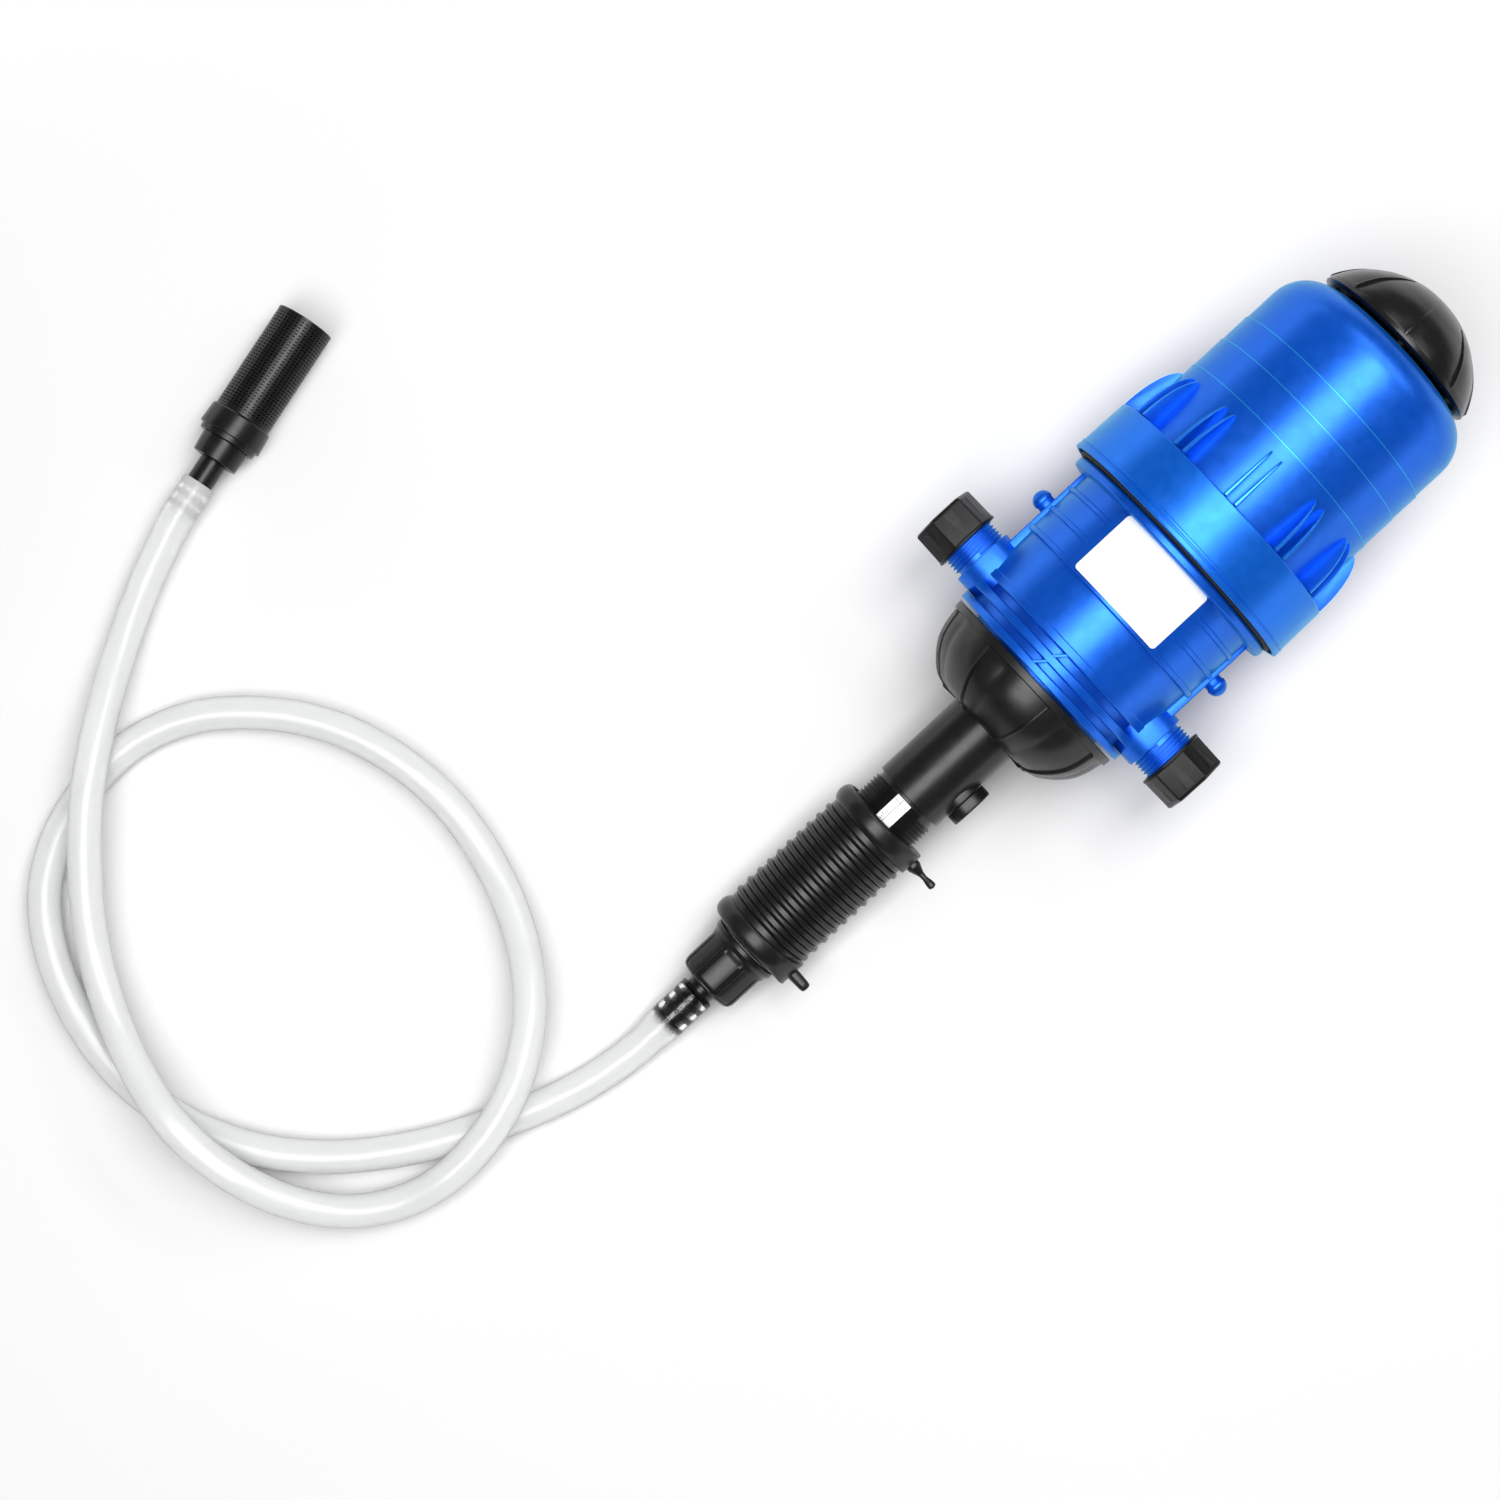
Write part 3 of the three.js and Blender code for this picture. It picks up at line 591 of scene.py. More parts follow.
class INJECTOR_OT_hose(bpy.types.Operator):
    """Clear suction hose at its real length, pushed over both barbs"""

    bl_idname = "injector.hose"
    bl_label = "Suction hose"

    def execute(self, context):
        sizes = context.scene.injector_sizes
        path = hose_points()
        run = [0.0]
        for a, b in zip(path, path[1:]):
            run.append(run[-1] + (b - a).length)
        curve = bpy.data.curves.new("hose_line", "CURVE")
        curve.dimensions = "3D"
        curve.bevel_depth = sizes.hose_diameter / 2
        curve.bevel_resolution = 6
        spline = curve.splines.new("POLY")
        spline.points.add(len(path) - 1)
        for point, place, along in zip(spline.points, path, run):
            point.co = (*place, 1)
            point.radius = self.swell(along, run[-1])
        line = bpy.data.objects.new("hose_line", curve)
        context.scene.collection.objects.link(line)
        context.view_layer.update()
        mesh = bpy.data.meshes.new_from_object(line)
        bpy.data.objects.remove(line)
        hose = bpy.data.objects.new("clear_hose", mesh)
        context.scene.collection.objects.link(hose)
        wall = hose.modifiers.new("wall", "SOLIDIFY")
        wall.thickness = sizes.hose_wall
        wall.offset = -1
        for face in mesh.polygons:
            face.use_smooth = True
        mesh.materials.clear()
        mesh.materials.append(finishes()["clear_pvc"])
        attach(hose, "dosing_barrel")
        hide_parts("suction_hose")
        return {"FINISHED"}

    def swell(self, along, total):
        """Radius as a share of the hose's own: wider over each barb, with a ridge at each barb edge."""
        at_pump = max(0.0, min(1.0, (0.030 - along) / 0.008))
        at_strainer = max(0.0, min(1.0, (along - (total - 0.021)) / 0.006))
        wide = 1 + 0.125 * at_pump + 0.035 * at_strainer
        ridge_width = 0.0012
        for edge in BARB_EDGES:
            offset = (along - (HOSE_START - edge) * MM) / ridge_width
            wide += 0.03 * exp(-offset * offset)
        return wide


class INJECTOR_OT_strainer(bpy.types.Operator):
    """Black strainer on the far end of the hose: barb, hub, collar and slotted cage"""

    bl_idname = "injector.strainer"
    bl_label = "Strainer"

    RIDGES = [
        corner for x in (2.2, 7.6, 13.0)
        for corner in ((x, 5.4), (x + 4.6, 6.2), (x + 5.0, 6.2), (x + 5.1, 5.4))
    ]
    TURNED = [  # name, corners, steps and the CAD node it stands for
        ("strainer_stem", [
            (1.2, 3.4), (1.2, 5.0, 0.4), *RIDGES, (18.6, 5.4), (18.9, 6.2, 0.3), (30.8, 6.2), (30.8, 3.4),
        ], 48, "strainer_barb"),
        ("strainer_hub_cone", [
            (31.1, 3.4), (31.1, 10.8, 0.5), (40.8, 11.5), (40.8, 3.4),
        ], 72, "strainer_hub"),
        ("strainer_clip_collar", [
            (41.1, 4), (41.1, 13.7, 0.4), (43.7, 13.9), (43.9, 15.3, 0.4), (53.4, 14.8, 0.5), (54.2, 14.2),
            (54.2, 11), (46, 11), (46, 4),
        ], 96, "strainer_collar"),
    ]
    SCREEN = [(56, 10.6), (56, 11.4), (106, 11.4), (106, 10.6)]  # tube inside the cage

    def execute(self, context):
        for name, corners, steps, node in self.TURNED:
            turned(name, corners, steps, "dosing_barrel", [node], *SATIN, STRAINER)
        self.cage()
        turned("strainer_core", self.SCREEN, 48, "dosing_barrel", [], *SATIN, STRAINER)
        return {"FINISHED"}

    def cage(self):
        """Fine cage of hoops and long bars, closed at its far end."""
        bm = bmesh.new()
        spin(bm, rounded([(54.5, 9), (54.5, 13.5), (55.6, 13.5), (55.6, 9)]), 72)
        spin(bm, rounded([(106, 9), (106, 13.7), (107.1, 13.7, 0.3), (107.1, 0), (106, 0)]), 72)
        for i in range(CAGE_HOOPS):
            s = 56.3 + i * CAGE_PITCH
            spin(bm, [(s - 0.4, 12.6), (s - 0.4, 13.6), (s + 0.4, 13.6), (s + 0.4, 12.6)], 60)
        bar = block(bm, (55, -0.45, 12.4), (106.4, 0.45, 13.5))
        round_copies(bm, bar, [(i + 0.5) * tau / CAGE_BARS for i in range(CAGE_BARS)])
        finish_piece("strainer_cage", bm, "dosing_barrel", ["filter_cage"], *SATIN, STRAINER)


# ---- housing ----
class INJECTOR_OT_bell(bpy.types.Operator):
    """Domed bell with three raised steps, and the pairs of gussets round its foot"""

    bl_idname = "injector.bell"
    bl_label = "Bell cover"

    # Each step's s, and how far the wall stands out below and above it.
    STEPS = ((143.0, 0.95, 0.7), (159.5, 0.7, 0.45), (173.5, 0.45, 0.0))
    PAIRS = 12
    FIN_FOOT = 109.9
    FIN_HEIGHT = 27.5
    FIN_REACH = 9.2

    def execute(self, context):
        r = sizes_mm()["bell_radius"]
        bm = bmesh.new()
        steps = []
        # Thin bands in the lighter blue under each step: a painted highlight along each step's edge.
        lines = bmesh.new()
        for s, low, high in self.STEPS:
            below, above = r + low, r + high
            steps += [(s, below, 0.12), (s + 0.2, above)]
            line = [(s - 0.5, below - 0.4), (s - 0.45, below + 0.1), (s, below + 0.1), (s, below - 0.4)]
            spin(lines, line, 128)
        shoulder = arc(BELL_TOP - 19, r - 18, 19, 0, 90, 20, 18 / 19)
        inner = arc(188.6, r - 18, 16, 90, 0, 8, 15 / 16)
        profile = rounded([
            (96.2, r - 3), (96.2, 61.5), (106, 61.5), (106, r + 0.95), *steps, *shoulder, (BELL_TOP, 14),
            (BELL_TOP + 0.5, 13.2, 0.3), (212, 13, 0.6), (212, 6.5, 0.3), (204.6, 6.5), *inner,
        ])
        spin(bm, profile, 128)
        finish_piece("bell", bm, "housing", ["bell_cover"], *BLUE)
        self.gussets(r, lines)
        finish_piece("bell_painted_highlight_lines", lines, "housing", [], "blue_housing", "painted_highlight_blue")
        return {"FINISHED"}

    def gussets(self, r, lines):
        """Pairs of curved fins. Each narrows to a point up the bell's wall; its fine crest line, in a lighter
        blue, is a painted highlight.
        """
        foot, height = self.FIN_FOOT, self.FIN_HEIGHT
        angles = [radians(7.5 * k) for k in range(13)]
        curve = [(foot + height * sin(a), r - 0.6 + self.FIN_REACH * cos(a)) for a in angles]
        fin = [(foot, r - 1.5), *curve, (foot + height, r - 1.5)]
        crest = [(s, out - 0.7) for s, out in reversed(curve)] + [(s, out + 0.12) for s, out in curve]
        bm = bmesh.new()
        self.pairs(bm, fin, 2.2, 0.35)
        # Crest strips in the lighter blue: a painted highlight along each fin's edge.
        self.pairs(lines, crest, 0.7, 0.0)
        finish_piece("bell_gussets", bm, "housing", [], *BLUE)

    def pairs(self, bm, outline, thickness, bevel):
        """Pairs of upright plates from one outline all round, each thinner towards its far end."""
        half_gap, thinning = 3, 0.55
        first = plate(bm, outline, thickness, bevel)
        for vert in first:
            vert.co.y *= 1 - thinning * max(0, (vert.co.x - 110) / self.FIN_HEIGHT)
        bmesh.ops.translate(bm, verts=first, vec=(0, half_gap, 0))
        second = new_verts(bmesh.ops.duplicate(bm, geom=list({f for v in first for f in v.link_faces})))
        bmesh.ops.translate(bm, verts=second, vec=(0, -2 * half_gap, 0))
        round_copies(bm, first + second, [k * tau / self.PAIRS for k in range(self.PAIRS)])


class INJECTOR_OT_ring(bpy.types.Operator):
    """Clamp ring, a shade brighter than the bell, with a lip and two fine lines at its foot"""

    bl_idname = "injector.clamp_ring"
    bl_label = "Clamp ring"

    def execute(self, context):
        r = sizes_mm()["ring_radius"]
        band = [
            (RING_LOW, 61.9), (RING_LOW, r, 0.7), (84.4, r, 0.4), (84.7, r - 0.5), (85.2, r - 0.5),
            (85.5, r - 0.15), (86.6, r - 0.2), (86.9, r - 0.5), (RING_TOP, r - 0.9, 1.1),
            (RING_TOP, 54.9, 0.3), (106.4, 54.9), (106.4, 61.9),
        ]
        turned("clamp_band", band, 144, "housing", ["clamp_ring"], "bright_blue_ring", "ring_blue")
        # A black rubber ring set in the gap under the clamp ring's foot, besides the seal inside; it makes
        # the gap read as a dark line.
        seal = [(81, 57), (81, 59.8, 0.8), (83.6, 59.8, 0.8), (83.6, 57)]
        turned("clamp_gap_ring", seal, 96, "housing", [], "seal_rubber", "rubber")
        return {"FINISHED"}


class INJECTOR_OT_body(bpy.types.Operator):
    """Ported body: bead flange, label wall, side strips, ribbed skirt, threaded ports and studs"""

    bl_idname = "injector.body"
    bl_label = "Pump body"

    def execute(self, context):
        self.size = sizes_mm()
        bm = bmesh.new()
        self.wall(bm)
        self.pads(bm)
        self.skirt_marks(bm)
        for side in (-1, 1):
            strip = block(bm, (24, -6.5, 44), (76.8, 6.5, 52.6), 0.5)
            swing(bm, strip, -side * pi / 2)
            self.port(bm, side)
        finish_piece("ported_body", bm, "housing", ["pump_body"], *BLUE)
        self.studs()
        return {"FINISHED"}

    def wall(self, bm):
        r, skirt = self.size["body_radius"], self.size["skirt_radius"]
        groove, bead, bore = 44.6, 58.4, 46.5
        ribs = []
        for s in (55.2, 67.2):
            ribs += [(s - 1.3, r), (s - 0.9, r + 0.9, 0.3), (s + 0.9, r + 0.9, 0.3), (s + 1.3, r)]
        profile = rounded([
            (-13.8, 16), (-13.8, 37.6), (0.2, 38), (0.2, skirt + 0.2, 0.5), (3.7, skirt + 0.2, 0.5),
            (3.8, groove, 0.5), (7.6, groove, 0.5), (7.7, skirt + 0.3, 0.5), (11.5, skirt + 0.3, 0.5),
            (11.6, groove, 0.5), (15.6, groove, 0.5), (15.7, skirt + 0.3, 0.6), (19.3, skirt + 0.3, 0.6),
            (19.7, skirt - 0.2, 0.3), (41.6, skirt + 0.3), (42.2, r + 0.9, 0.4), (44.4, r + 0.9, 0.3),
            (44.8, r), *ribs, (75.8, r, 0.6), (76.2, bead, 1.2), (80.6, bead, 1.6), (80.8, 55, 0.4),
            (84, 55), (84, 61.2), (95.8, 61.2), (95.8, bore), (26, bore), (26, 16),
        ])
        spin(bm, profile, 128)

    def pads(self, bm):
        """The smooth field that the label sits on, front and back."""
        r = self.size["body_radius"]
        half = asin(27.5 / r)
        for start in (-half, pi - half):
            spin(bm, [(43, r - 1), (43, r + 1.0), (76.4, r + 1.0), (76.4, r - 1)], 24, 2 * half, start)

    def skirt_marks(self, bm):
        """One short slanting rib in each groove of the skirt."""
        for s, y in ((13.5, 0.4), (5.7, 4.6)):
            rib = block(bm, (-2.3, -0.9, 44), (2.3, 0.9, 49.5), 0.25)
            for vert in rib:
                vert.co.y -= vert.co.x * 0.85
            bmesh.ops.translate(bm, verts=rib, vec=(s, 0, 0))
            swing(bm, rib, -y / 48)

    def port(self, bm, side):
        """Boss and male pipe thread, bored through."""
        crest = self.size["thread_radius"]
        root = crest - 1.15
        tube = spin(bm, rounded([
            (42, 10), (42, 14.6), (56, 14.6, 0.4), (56, root), (75, root), (76, root - 0.5), (76, 10, 0.3),
        ]), 72)
        aim_sideways(bm, tube, side, PORT_S)
        ridge = [(56.2, root - 0.2), (56.9, crest), (57.15, crest), (57.85, root - 0.2)]
        thread = spin(bm, ridge, PORT_TURNS * 40, PORT_TURNS * tau, 0, PORT_PITCH)
        aim_sideways(bm, thread, side, PORT_S)

    def studs(self):
        profile = [(51, 0), (51, 4.2), (54.6, 4.2), (55.4, 4.6), *arc(55.7, 0, 4.7, 0, 90, 10)]
        for name, side in (("left", 1), ("right", -1)):
            nodes = ["bracket_stud_" + name]
            turned("stud_" + name, profile, 40, "housing", nodes, *BLUE, sideways=(side, STUD_S))


class INJECTOR_OT_label(bpy.types.Operator):
    """Blank white plate with rounded corners, bent to the body"""

    bl_idname = "injector.label"
    bl_label = "Label plate"

    def execute(self, context):
        radius = sizes_mm()["body_radius"] + 1.0
        bm = bmesh.new()
        half_s, half_w, corner = 16.2, 25.2, 1.8
        thickness, centre_s, strips = 0.7, 59.9, 12
        signs = ((-1, -1), (1, -1), (1, 1), (-1, 1))
        outline = rounded([(half_s * a, half_w * b, corner) for a, b in signs], 5)
        plate(bm, outline, thickness, 0.2)
        for k in range(1 - strips, strips):
            geometry = bm.verts[:] + bm.edges[:] + bm.faces[:]
            cut = (0, 0, k * half_w / strips)
            bmesh.ops.bisect_plane(bm, geom=geometry, plane_co=cut, plane_no=(0, 0, 1))
        for vert in bm.verts:
            angle = vert.co.z / radius
            r = radius + thickness / 2 - vert.co.y
            vert.co = (centre_s + vert.co.x, r * sin(angle), r * cos(angle))
        finish_piece("label", bm, "housing", ["label_plate"], *WHITE)
        return {"FINISHED"}


class INJECTOR_OT_caps(bpy.types.Operator):
    """Black hexagonal blank caps on the two ports"""

    bl_idname = "injector.caps"
    bl_label = "Port caps"

    def execute(self, context):
        for node, body, side in (("inlet_cap", "inlet_blank", 1), ("outlet_cap", "outlet_blank", -1)):
            bm = bmesh.new()
            hexagon = bmesh.ops.create_cone(
                bm, cap_ends=True, cap_tris=False, segments=6, radius1=15.9, radius2=15.6, depth=15.9,
                matrix=Matrix.Translation((CAP_END - 7.95, 0, 0)) @ Matrix.Rotation(pi / 2, 4, "Y"),
            )["verts"]
            swing(bm, hexagon, radians(8.3))
            top = max(bm.faces, key=lambda face: face.calc_center_median().x)
            bottom = min(bm.faces, key=lambda face: face.calc_center_median().x)
            rims = list(top.edges)
            bmesh.ops.delete(bm, geom=[bottom], context="FACES_ONLY")
            round_edges(bm, rims, 1.8, 5)
            inner = [e for e in bm.edges if len(e.link_faces) == 2]
            round_edges(bm, [e for e in inner if abs(e.verts[0].co.x - e.verts[1].co.x) > 5], 0.7, 3)
            spin(bm, rounded([
                (CAP_START, 13.5, 0.2), (CAP_START, 15.9, 0.3), (CAP_START + 1.3, 15.9, 0.4),
                (CAP_START + 1.6, 13.8), (CAP_END - 2.5, 13.8), (CAP_END - 2.5, 0), (CAP_END - 3.1, 0),
                (CAP_END - 3.1, 13.5),
            ]), 64)
            aim_sideways(bm, bm.verts[:], side, PORT_S)
            finish_piece("blank_" + node, bm, body, [node], "black_gloss", "deep_black")
        return {"FINISHED"}


def seam_angles(turn):
    """Where the seams lie round the axis."""
    return [turn + k * tau / SEAMS for k in range(SEAMS)]


def scallop(bm, depth, turn, low, high):
    """Pulls a turned wall in between its seams, so that each field reads as a petal."""
    for vert in bm.verts:
        radius = hypot(vert.co.y, vert.co.z)
        if not low < vert.co.x < high or radius < 5:
            continue
        angle = atan2(-vert.co.y, vert.co.z) - turn
        wave = abs(sin(angle * SEAMS / 2))
        fade = min(1, (vert.co.x - low) / 4, (high - vert.co.x) / 2.5)
        share = 1 - depth * fade * (1 - wave) ** 2
        vert.co.y *= share
        vert.co.z *= share


class INJECTOR_OT_cup(bpy.types.Operator):
    """Black union cup with a flat rim and eight petals between thin seams"""

    bl_idname = "injector.cup"
    bl_label = "Union cup"

    BOWL = [(-31.6, 26.8), (-30.4, 31.2), (-25.6, 37.6), (-19.2, 42.9), (-12.6, 45.6), (-5.2, 47.0)]

    def execute(self, context):
        rim = sizes_mm()["cup_radius"]
        bm = bmesh.new()
        bowl = [(p.x, p.y) for p in through([Vector((s, r, 0)) for s, r in self.BOWL], 1.4)]
        inside = [(-1.3, 39.4, 0.4), (-14.2, 39), (-20, 37), (-28.6, 26), (-28.6, 18.4)]
        brim = [(-4.9, rim - 0.2, 0.3), (-1.3, rim, 0.5)]
        spin(bm, rounded([(-31.9, 18.2), (-31.9, 25.6), *bowl, *brim, *inside]), 192)
        scallop(bm, 0.02, -CUP_TURN, -32.5, -4.9)
        finish_piece("cup", bm, "housing", ["union_cup"], *SATIN, sharp=40)
        self.seams()
        return {"FINISHED"}

    def seams(self):
        """Thin raised ribs that follow the bowl's outline, and run on across its flat end."""
        bm = bmesh.new()
        line = [Vector((-32.2, 18.3, 0)), Vector((-32.6, 26.2, 0))]
        line += through([Vector((s, r + 0.9, 0)) for s, r in self.BOWL], 2.5)
        outer = [(p.x - 0.35, p.y + 0.35) for p in line]
        inner = [
            (-5, 44.8), (-12.4, 43.4), (-18.6, 40.8), (-24.6, 35.6), (-29, 29.8), (-30.4, 25), (-30.4, 18.3),
        ]
        rib = plate(bm, [*outer, *inner], 1.3, 0.35)
        round_copies(bm, rib, seam_angles(CUP_TURN))
        finish_piece("cup_seams", bm, "housing", [], *SATIN)


class INJECTOR_OT_barrel(bpy.types.Operator):
    """Injector tube, threaded neck, scale strip with its marks, and the side plug"""

    bl_idname = "injector.barrel"
    bl_label = "Injector barrel"

    def execute(self, context):
        r = sizes_mm()["tube_radius"]
        bm = bmesh.new()
        spin(bm, rounded([
            (-138, 13.6), (-138, 16.2), (-81, 16.2), (-80.6, 15.9), (-77.4, 15.9), (-77.4, r, 0.5),
            (-18.4, r), (-18.4, 36), (-14.1, 36), (-14.1, 13.6),
        ]), 96)
        turns, pitch = 13, 1.95
        ridge = [(-106.5, 16), (-105.7, 17.3), (-105.4, 17.3), (-104.6, 16)]
        spin(bm, ridge, turns * 48, turns * tau, 0.6, pitch)
        boss = spin(bm, rounded([(13.9, 6.2), (13.9, 10.3), (17.8, 10.3, 0.3), (17.8, 6.2)]), 64)
        aim_sideways(bm, boss, -1, PLUG_S)
        finish_piece("barrel", bm, "housing", ["injector_barrel"], *SATIN)
        self.plug()
        self.scale()
        return {"FINISHED"}

    def plug(self):
        corners = [
            (14.6, 0), (14.6, 5.9), (18.0, 5.9), (18.0, 10.3, 0.4), (23.4, 10.3, 0.8), (23.4, 6.6),
            (22.9, 6.2), (22.9, 0),
        ]
        turned("plug", corners, 64, "housing", ["side_plug"], *DULL, sideways=(-1, PLUG_S))

    def scale(self):
        """White strip bent to the neck, with a centre line and fine marks."""
        half = asin(4.05 / 17.5)
        bm = bmesh.new()
        section = rounded([(-106, 15.6), (-106, 17.55, 0.15), (-79, 17.55, 0.15), (-79, 15.6)])
        spin(bm, section, 12, 2 * half, -half)
        finish_piece("scale", bm, "housing", ["scale_strip"], *WHITE)
        marks = bmesh.new()
        block(marks, (-106, 0.3, 17.3), (-79.2, 0.6, 17.62))
        block(marks, (-81.4, -3.6, 17.0), (-81.2, 3.6, 17.6))
        for i in range(18):
            reach = 1.9 if i % 5 == 0 else 1.1
            s = -104.8 + i * 1.0
            block(marks, (s - 0.13, 1.4, 17.2), (s + 0.13, 1.4 + reach, 17.58))
        finish_piece("scale_marks", marks, "housing", [], "white_label", "mark_grey")


# ---- ratio sleeve ----
def grip_ring(name, node, round_side, stop_side, front, r, bore, tail):
    """A round bead that squares off into a flat stop face on the -Y side, with a tail.

    round_side and stop_side are (middle s, half height) of the section at the two sides, and front is the
    half height just before the stop.
    """
    bm = bmesh.new()
    depth = (r - bore) / 2
    centre = bore + depth
    section = arc(0, 0, 1, 0, 360, 24)[:-1]
    spin(bm, [(x, centre + depth * y) for x, y in section], 96)
    for vert in bm.verts:
        radius = hypot(vert.co.y, vert.co.z)
        across, along = (radius - centre) / depth, vert.co.x
        stop = max(0, min(1, (-vert.co.y / radius - 0.6) / 0.34))
        stop = stop * stop * (3 - 2 * stop)
        lean = 0.5 - 0.5 * vert.co.y / radius
        square = 1 + stop * (0.94 / max(abs(across), abs(along), 0.2) - 1)
        half = (round_side[1] * (1 - lean) + front * lean) * (1 - stop) + stop_side[1] * stop
        s = round_side[0] * (1 - lean) + stop_side[0] * lean
        reach = centre + depth * max(-1, min(1, across * square)) * (1 + 0.1 * stop)
        vert.co = (s + half * along * square, vert.co.y / radius * reach, vert.co.z / radius * reach)
        vert.co.y = max(vert.co.y, -22.9)
    spike = spin(bm, tail, 32)
    aim_sideways(bm, spike, -1, stop_side[0])
    finish_piece(name, bm, "sleeve", [node], *SATIN, sharp=42)


class INJECTOR_OT_sleeve(bpy.types.Operator):
    """Ribbed ratio sleeve with a grip ring at each end"""

    bl_idname = "injector.sleeve"
    bl_label = "Ratio sleeve"

    def execute(self, context):
        r = sizes_mm()["sleeve_radius"]
        bm = bmesh.new()
        ribs = []
        for k in range(RIB_COUNT):
            s = -160.4 + k * RIB_PITCH
            ribs += [(s - 1.95, r), (s - 1.75, r - 0.45), *arc(s, r - 0.2, 1.45, -90, 90, 10)]
            ribs += [(s + 1.75, r - 0.45), (s + 1.95, r)]
        spin(bm, [(-166, 13.6), (-166, r), *ribs, (-101, r), (-101, 18), (-160.4, 18), (-160.4, 13.6)], 112)
        finish_piece("sleeve_grip", bm, "sleeve", ["ratio_sleeve"], *SATIN, sharp=50)
        upper_tail = rounded([
            (20, 0), (20, 3.3), (24.6, 3.2, 0.8), (28.8, 1.5, 0.8), (31.4, 1.25, 0.6), (34.6, 1.9, 0.8),
            (36.6, 1.9, 0.9), (37.2, 0),
        ])
        lower_tail = rounded([(20, 0), (20, 3.0), (29.6, 2.6, 1.2), (31.8, 2.3, 1.3), (32.1, 0)])
        grip_ring("upper_grip", "upper_grip_ring", (-97.1, 4.7), (-96.9, 5.5), 5.2, 23.6, 17.9, upper_tail)
        grip_ring("lower_grip", "lower_grip_ring", (-170.0, 4.5), (-169.2, 6.2), 5.0, 23.3, 17.9, lower_tail)
        self.washer()
        return {"FINISHED"}

    def washer(self):
        """Lower lip of the sleeve that shows between the lower grip and the suction nut."""
        lip = [(-175.2, 13.7), (-175.2, 18.6, 0.6), (-168, 18.6), (-168, 13.7)]
        turned("sleeve_lip", lip, 64, "sleeve", [], *SATIN)


# ---- suction end ----
class INJECTOR_OT_suction_end(bpy.types.Operator):
    """Suction nut with flat recessed panels, and the hose barb"""

    bl_idname = "injector.suction_end"
    bl_label = "Suction nut and barb"

    def execute(self, context):
        self.nut()
        self.barb()
        return {"FINISHED"}

    def nut(self):
        bm = bmesh.new()
        wall = [(s, 15.5 + 0.004 * (s + 198)) for s in range(-197, -182)]
        corners = [
            *arc(-197.4, 11.1, 4.4, -90, 0, 10), *wall, (-181.6, 15.6), (-180.2, 15.7, 1.2),
            (-178.2, 16.9, 0.5), (-176.1, 16.9, 0.4), (-176.1, 13.6), (-190.6, 13.6), (-198, 10.4), (-198, 7),
            (-201.8, 7),
        ]
        spin(bm, rounded(corners), 192)
        self.panels(bm)
        finish_piece("suction_cap_nut", bm, "dosing_barrel", ["suction_nut"], *DULL)

    def panels(self, bm):
        """Sinks eight flat panels into the wall, between narrow ribs."""
        field, half = tau / 8, radians(17.5)
        for vert in bm.verts:
            turn = (atan2(-vert.co.y, vert.co.z) + field / 2) % field - field / 2
            radius = hypot(vert.co.y, vert.co.z)
            if abs(turn) < half and -200.4 < vert.co.x < -182.5 and radius > 13.7:
                share = (radius - 0.45 - 0.25 * cos(turn / half * pi / 2)) / radius
                vert.co.y *= share
                vert.co.z *= share

    def barb(self):
        ridges = []
        for edge in reversed(BARB_EDGES):
            ridges += [(edge - 5.2, 6.1), (edge - 0.4, 6.9), (edge - 0.3, 8.3), (edge, 8.3), (edge, 6.2)]
        profile = [(-229.4, 3.4), (-229.4, 5.9, 0.7), *ridges, (-206, 6.3), (-205, 6.8, 0.6), (-197.4, 6.8)]
        profile += [(-197.4, 9.8), (-190.9, 12.7), (-187.7, 12.7), (-187.7, 3.4)]
        turned("barb_stem", profile, 64, "dosing_barrel", ["hose_barb"], *DULL)


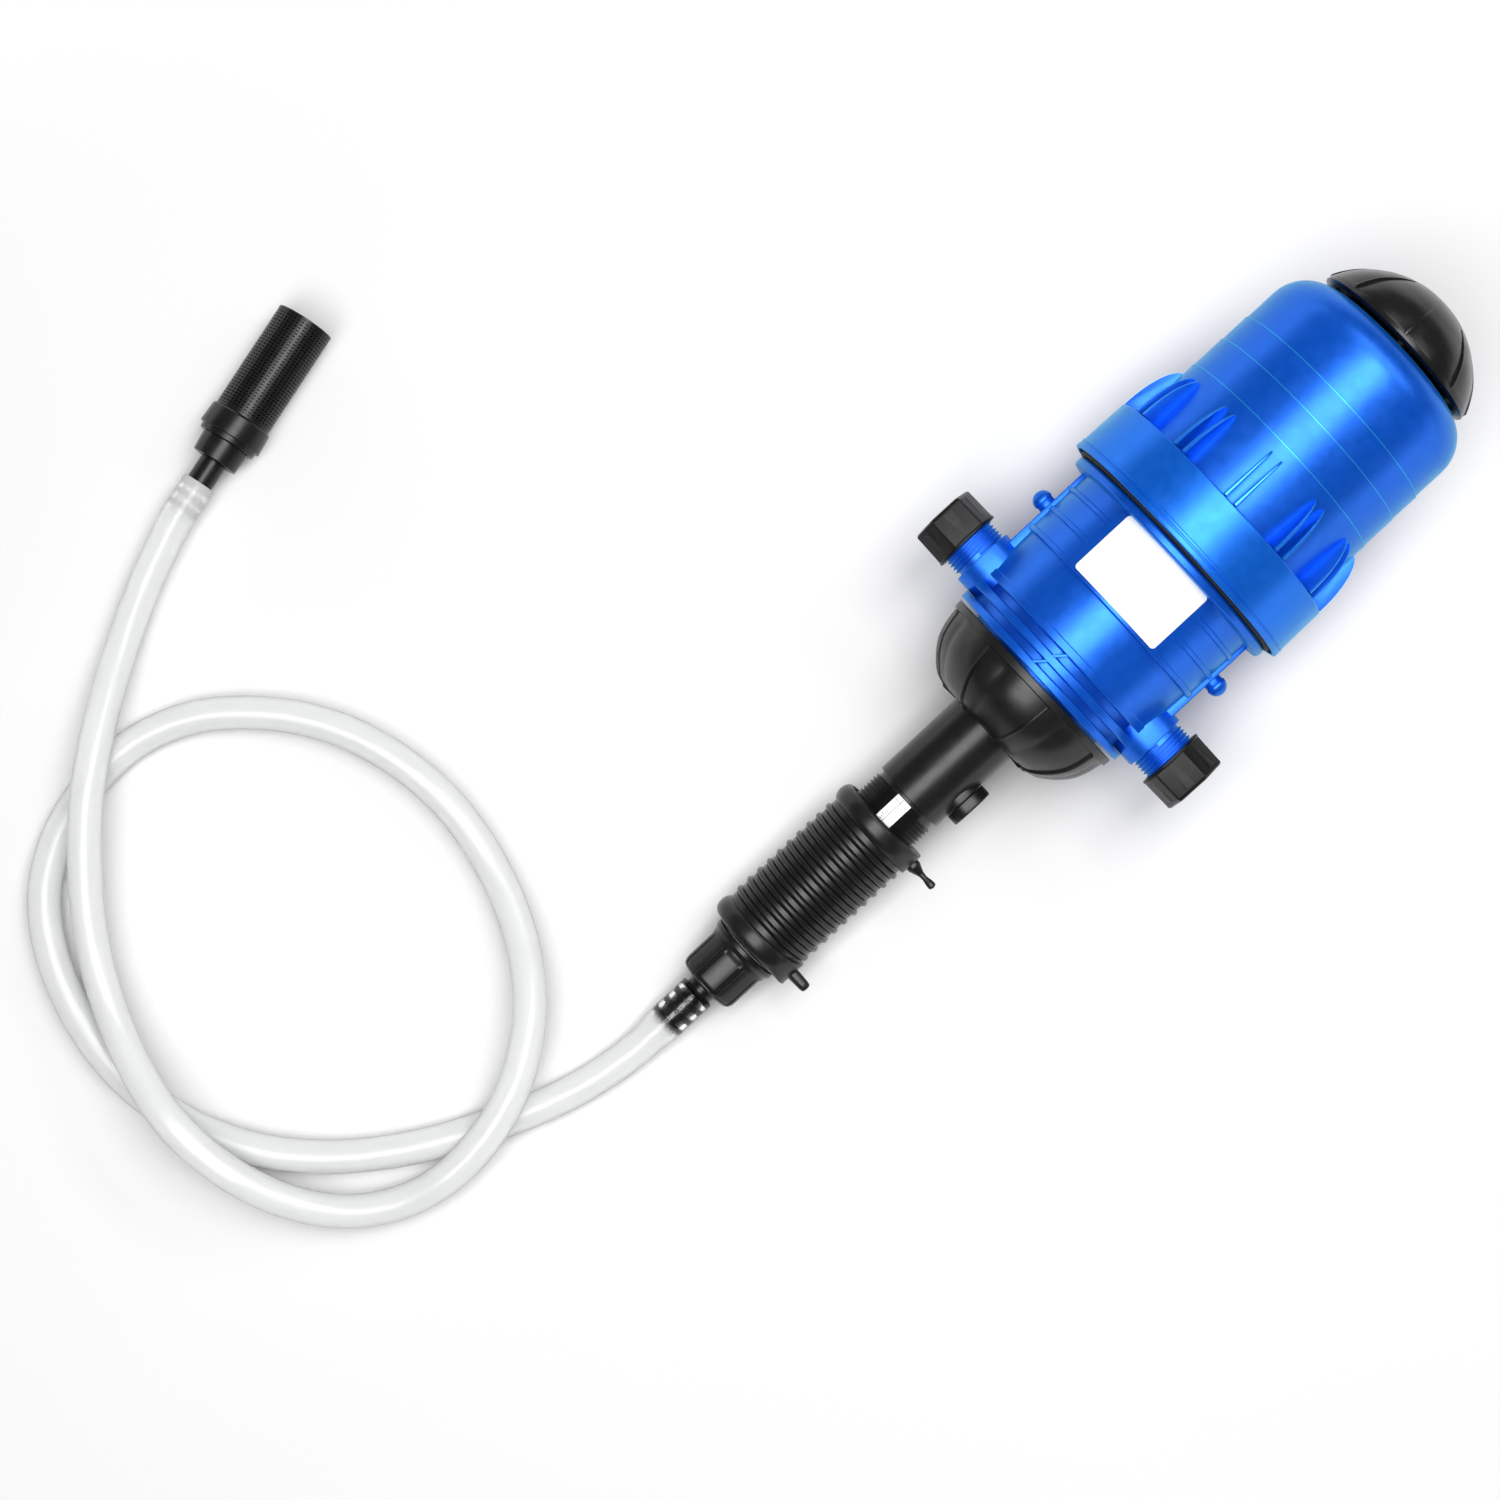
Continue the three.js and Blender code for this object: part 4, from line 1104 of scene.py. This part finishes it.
# ---- knob ----
class INJECTOR_OT_knob(bpy.types.Operator):
    """Black domed knob with eight raised ribs over a scalloped shell"""

    bl_idname = "injector.knob"
    bl_label = "Domed knob"

    # The dome's outline as s and a share of the rim's radius.
    LINE = [
        (213.6, 0.983), (217, 0.944), (220, 0.9), (223, 0.85), (226, 0.786), (229, 0.706), (232, 0.614),
        (235, 0.491), (238, 0.307), (239.4, 0.12), (DOME_TOP, 0),
    ]

    def execute(self, context):
        r = sizes_mm()["dome_radius"]
        outline = through([Vector((s, share * r, 0)) for s, share in self.LINE], 1.2)
        under = [(s - 2.4, share * r - 2.6) for s, share in self.LINE[8:0:-1]]
        brim = rounded([(DOME_RIM - 1.3, r - 4.1, 0.2), (DOME_RIM, r, 0.3), (DOME_RIM + 2.3, r - 0.5)])
        inside = [(222, 0), (222, 9), *under, (DOME_RIM + 1, r - 5)]
        bm = bmesh.new()
        spin(bm, [*brim, *[(p.x, p.y) for p in outline], *inside], 192)
        scallop(bm, 0.016, DOME_TURN, DOME_RIM + 2.2, 237)
        finish_piece("dome", bm, "knob", ["dome_knob"], *GLOSS, sharp=40)
        self.ribs(r)
        self.stem()
        return {"FINISHED"}

    def ribs(self, r):
        """Each rib starts at the rim and sinks into the dome near its top."""
        bm = bmesh.new()
        line = through([Vector((s, share * r, 0)) for s, share in self.LINE[:8]], 1.5)
        count = len(line) - 1
        outer = [(p.x + 0.3, p.y + 1.1 * (1 - (k / count) ** 2) - 0.3) for k, p in enumerate(line)]
        inner = [(p.x - 0.8, p.y - 1.6) for p in line]
        foot = DOME_RIM + 1.2
        rib = plate(bm, [(foot, r - 0.4), *outer, *inner[::-1], (foot, r - 2.4)], 2.0, 0.4)
        for vert in rib:
            vert.co.y *= 1 - 0.7 * max(0, (vert.co.x - DOME_RIM) / 24)
        round_copies(bm, rib, seam_angles(DOME_TURN))
        finish_piece("dome_ribs", bm, "knob", [], *GLOSS)

    def stem(self):
        corners = [
            (197, 0), (197, 5.9, 0.5), (206, 5.9), (206, 4.4), (208.6, 4.4), (208.6, 5.9), (212.4, 5.9),
            (212.4, 8.4, 0.4), (221.8, 8.4), (221.8, 0),
        ]
        turned("stem", corners, 48, "knob", ["knob_stem"], *GLOSS)


# ---- pieces inside, whose CAD shape stays ----
INSIDE = {
    "rubber": [
        "housing_seal", "rod_seal", "piston_seal", "plunger_seal", "cylinder_seal", "barb_gasket",
        "stem_seal",
    ],
    "bare_plastic": [
        "rod_guide", "motor_piston", "plunger_head", "valve_carrier", "inlet_poppet_1", "inlet_poppet_2",
        "exhaust_poppet_1", "exhaust_poppet_2", "dosing_cylinder", "suction_poppet", "spring_seat",
    ],
    "turned_steel": ["plunger_rod", "rod_nut", "toggle_spring", "suction_spring"],
}


class INJECTOR_OT_inside(bpy.types.Operator):
    """Finishes of the pieces inside: piston, valve gear, plunger, seals and springs"""

    bl_idname = "injector.inside"
    bl_label = "Inner pieces"

    def execute(self, context):
        for material, nodes in INSIDE.items():
            for node in nodes:
                data = frame["nodes"][node].data
                data.materials.clear()
                data.materials.append(finishes()[material])
        return {"FINISHED"}


class INJECTOR_PT_panel(bpy.types.Panel):
    """Sidebar panel that builds the injector piece by piece"""

    bl_label = "Dosing injector"
    bl_idname = "INJECTOR_PT_panel"
    bl_space_type = "VIEW_3D"
    bl_region_type = "UI"
    bl_category = "Injector"

    def draw(self, context):
        for group in (context.scene.injector_sizes, context.scene.injector_colours):
            box = self.layout.box()
            for name in group.__annotations__:
                box.prop(group, name)
        for operator in OPERATORS:
            self.layout.operator(operator.bl_idname)


OPERATORS = (
    INJECTOR_OT_stage, INJECTOR_OT_strainer, INJECTOR_OT_hose, INJECTOR_OT_bell, INJECTOR_OT_ring,
    INJECTOR_OT_body, INJECTOR_OT_label, INJECTOR_OT_caps, INJECTOR_OT_cup, INJECTOR_OT_barrel,
    INJECTOR_OT_sleeve, INJECTOR_OT_suction_end, INJECTOR_OT_knob, INJECTOR_OT_inside,
)
CLASSES = (InjectorSizes, InjectorColours, *OPERATORS, INJECTOR_PT_panel)


def register():
    for cls in CLASSES:
        bpy.utils.register_class(cls)
    bpy.types.Scene.injector_sizes = PointerProperty(type=InjectorSizes)
    bpy.types.Scene.injector_colours = PointerProperty(type=InjectorColours)


def unregister():
    del bpy.types.Scene.injector_colours
    del bpy.types.Scene.injector_sizes
    for cls in reversed(CLASSES):
        bpy.utils.unregister_class(cls)


def main():
    register()
    for operator in OPERATORS:
        group, name = operator.bl_idname.split(".")
        getattr(getattr(bpy.ops, group), name)()


if __name__ == "__main__":
    main()
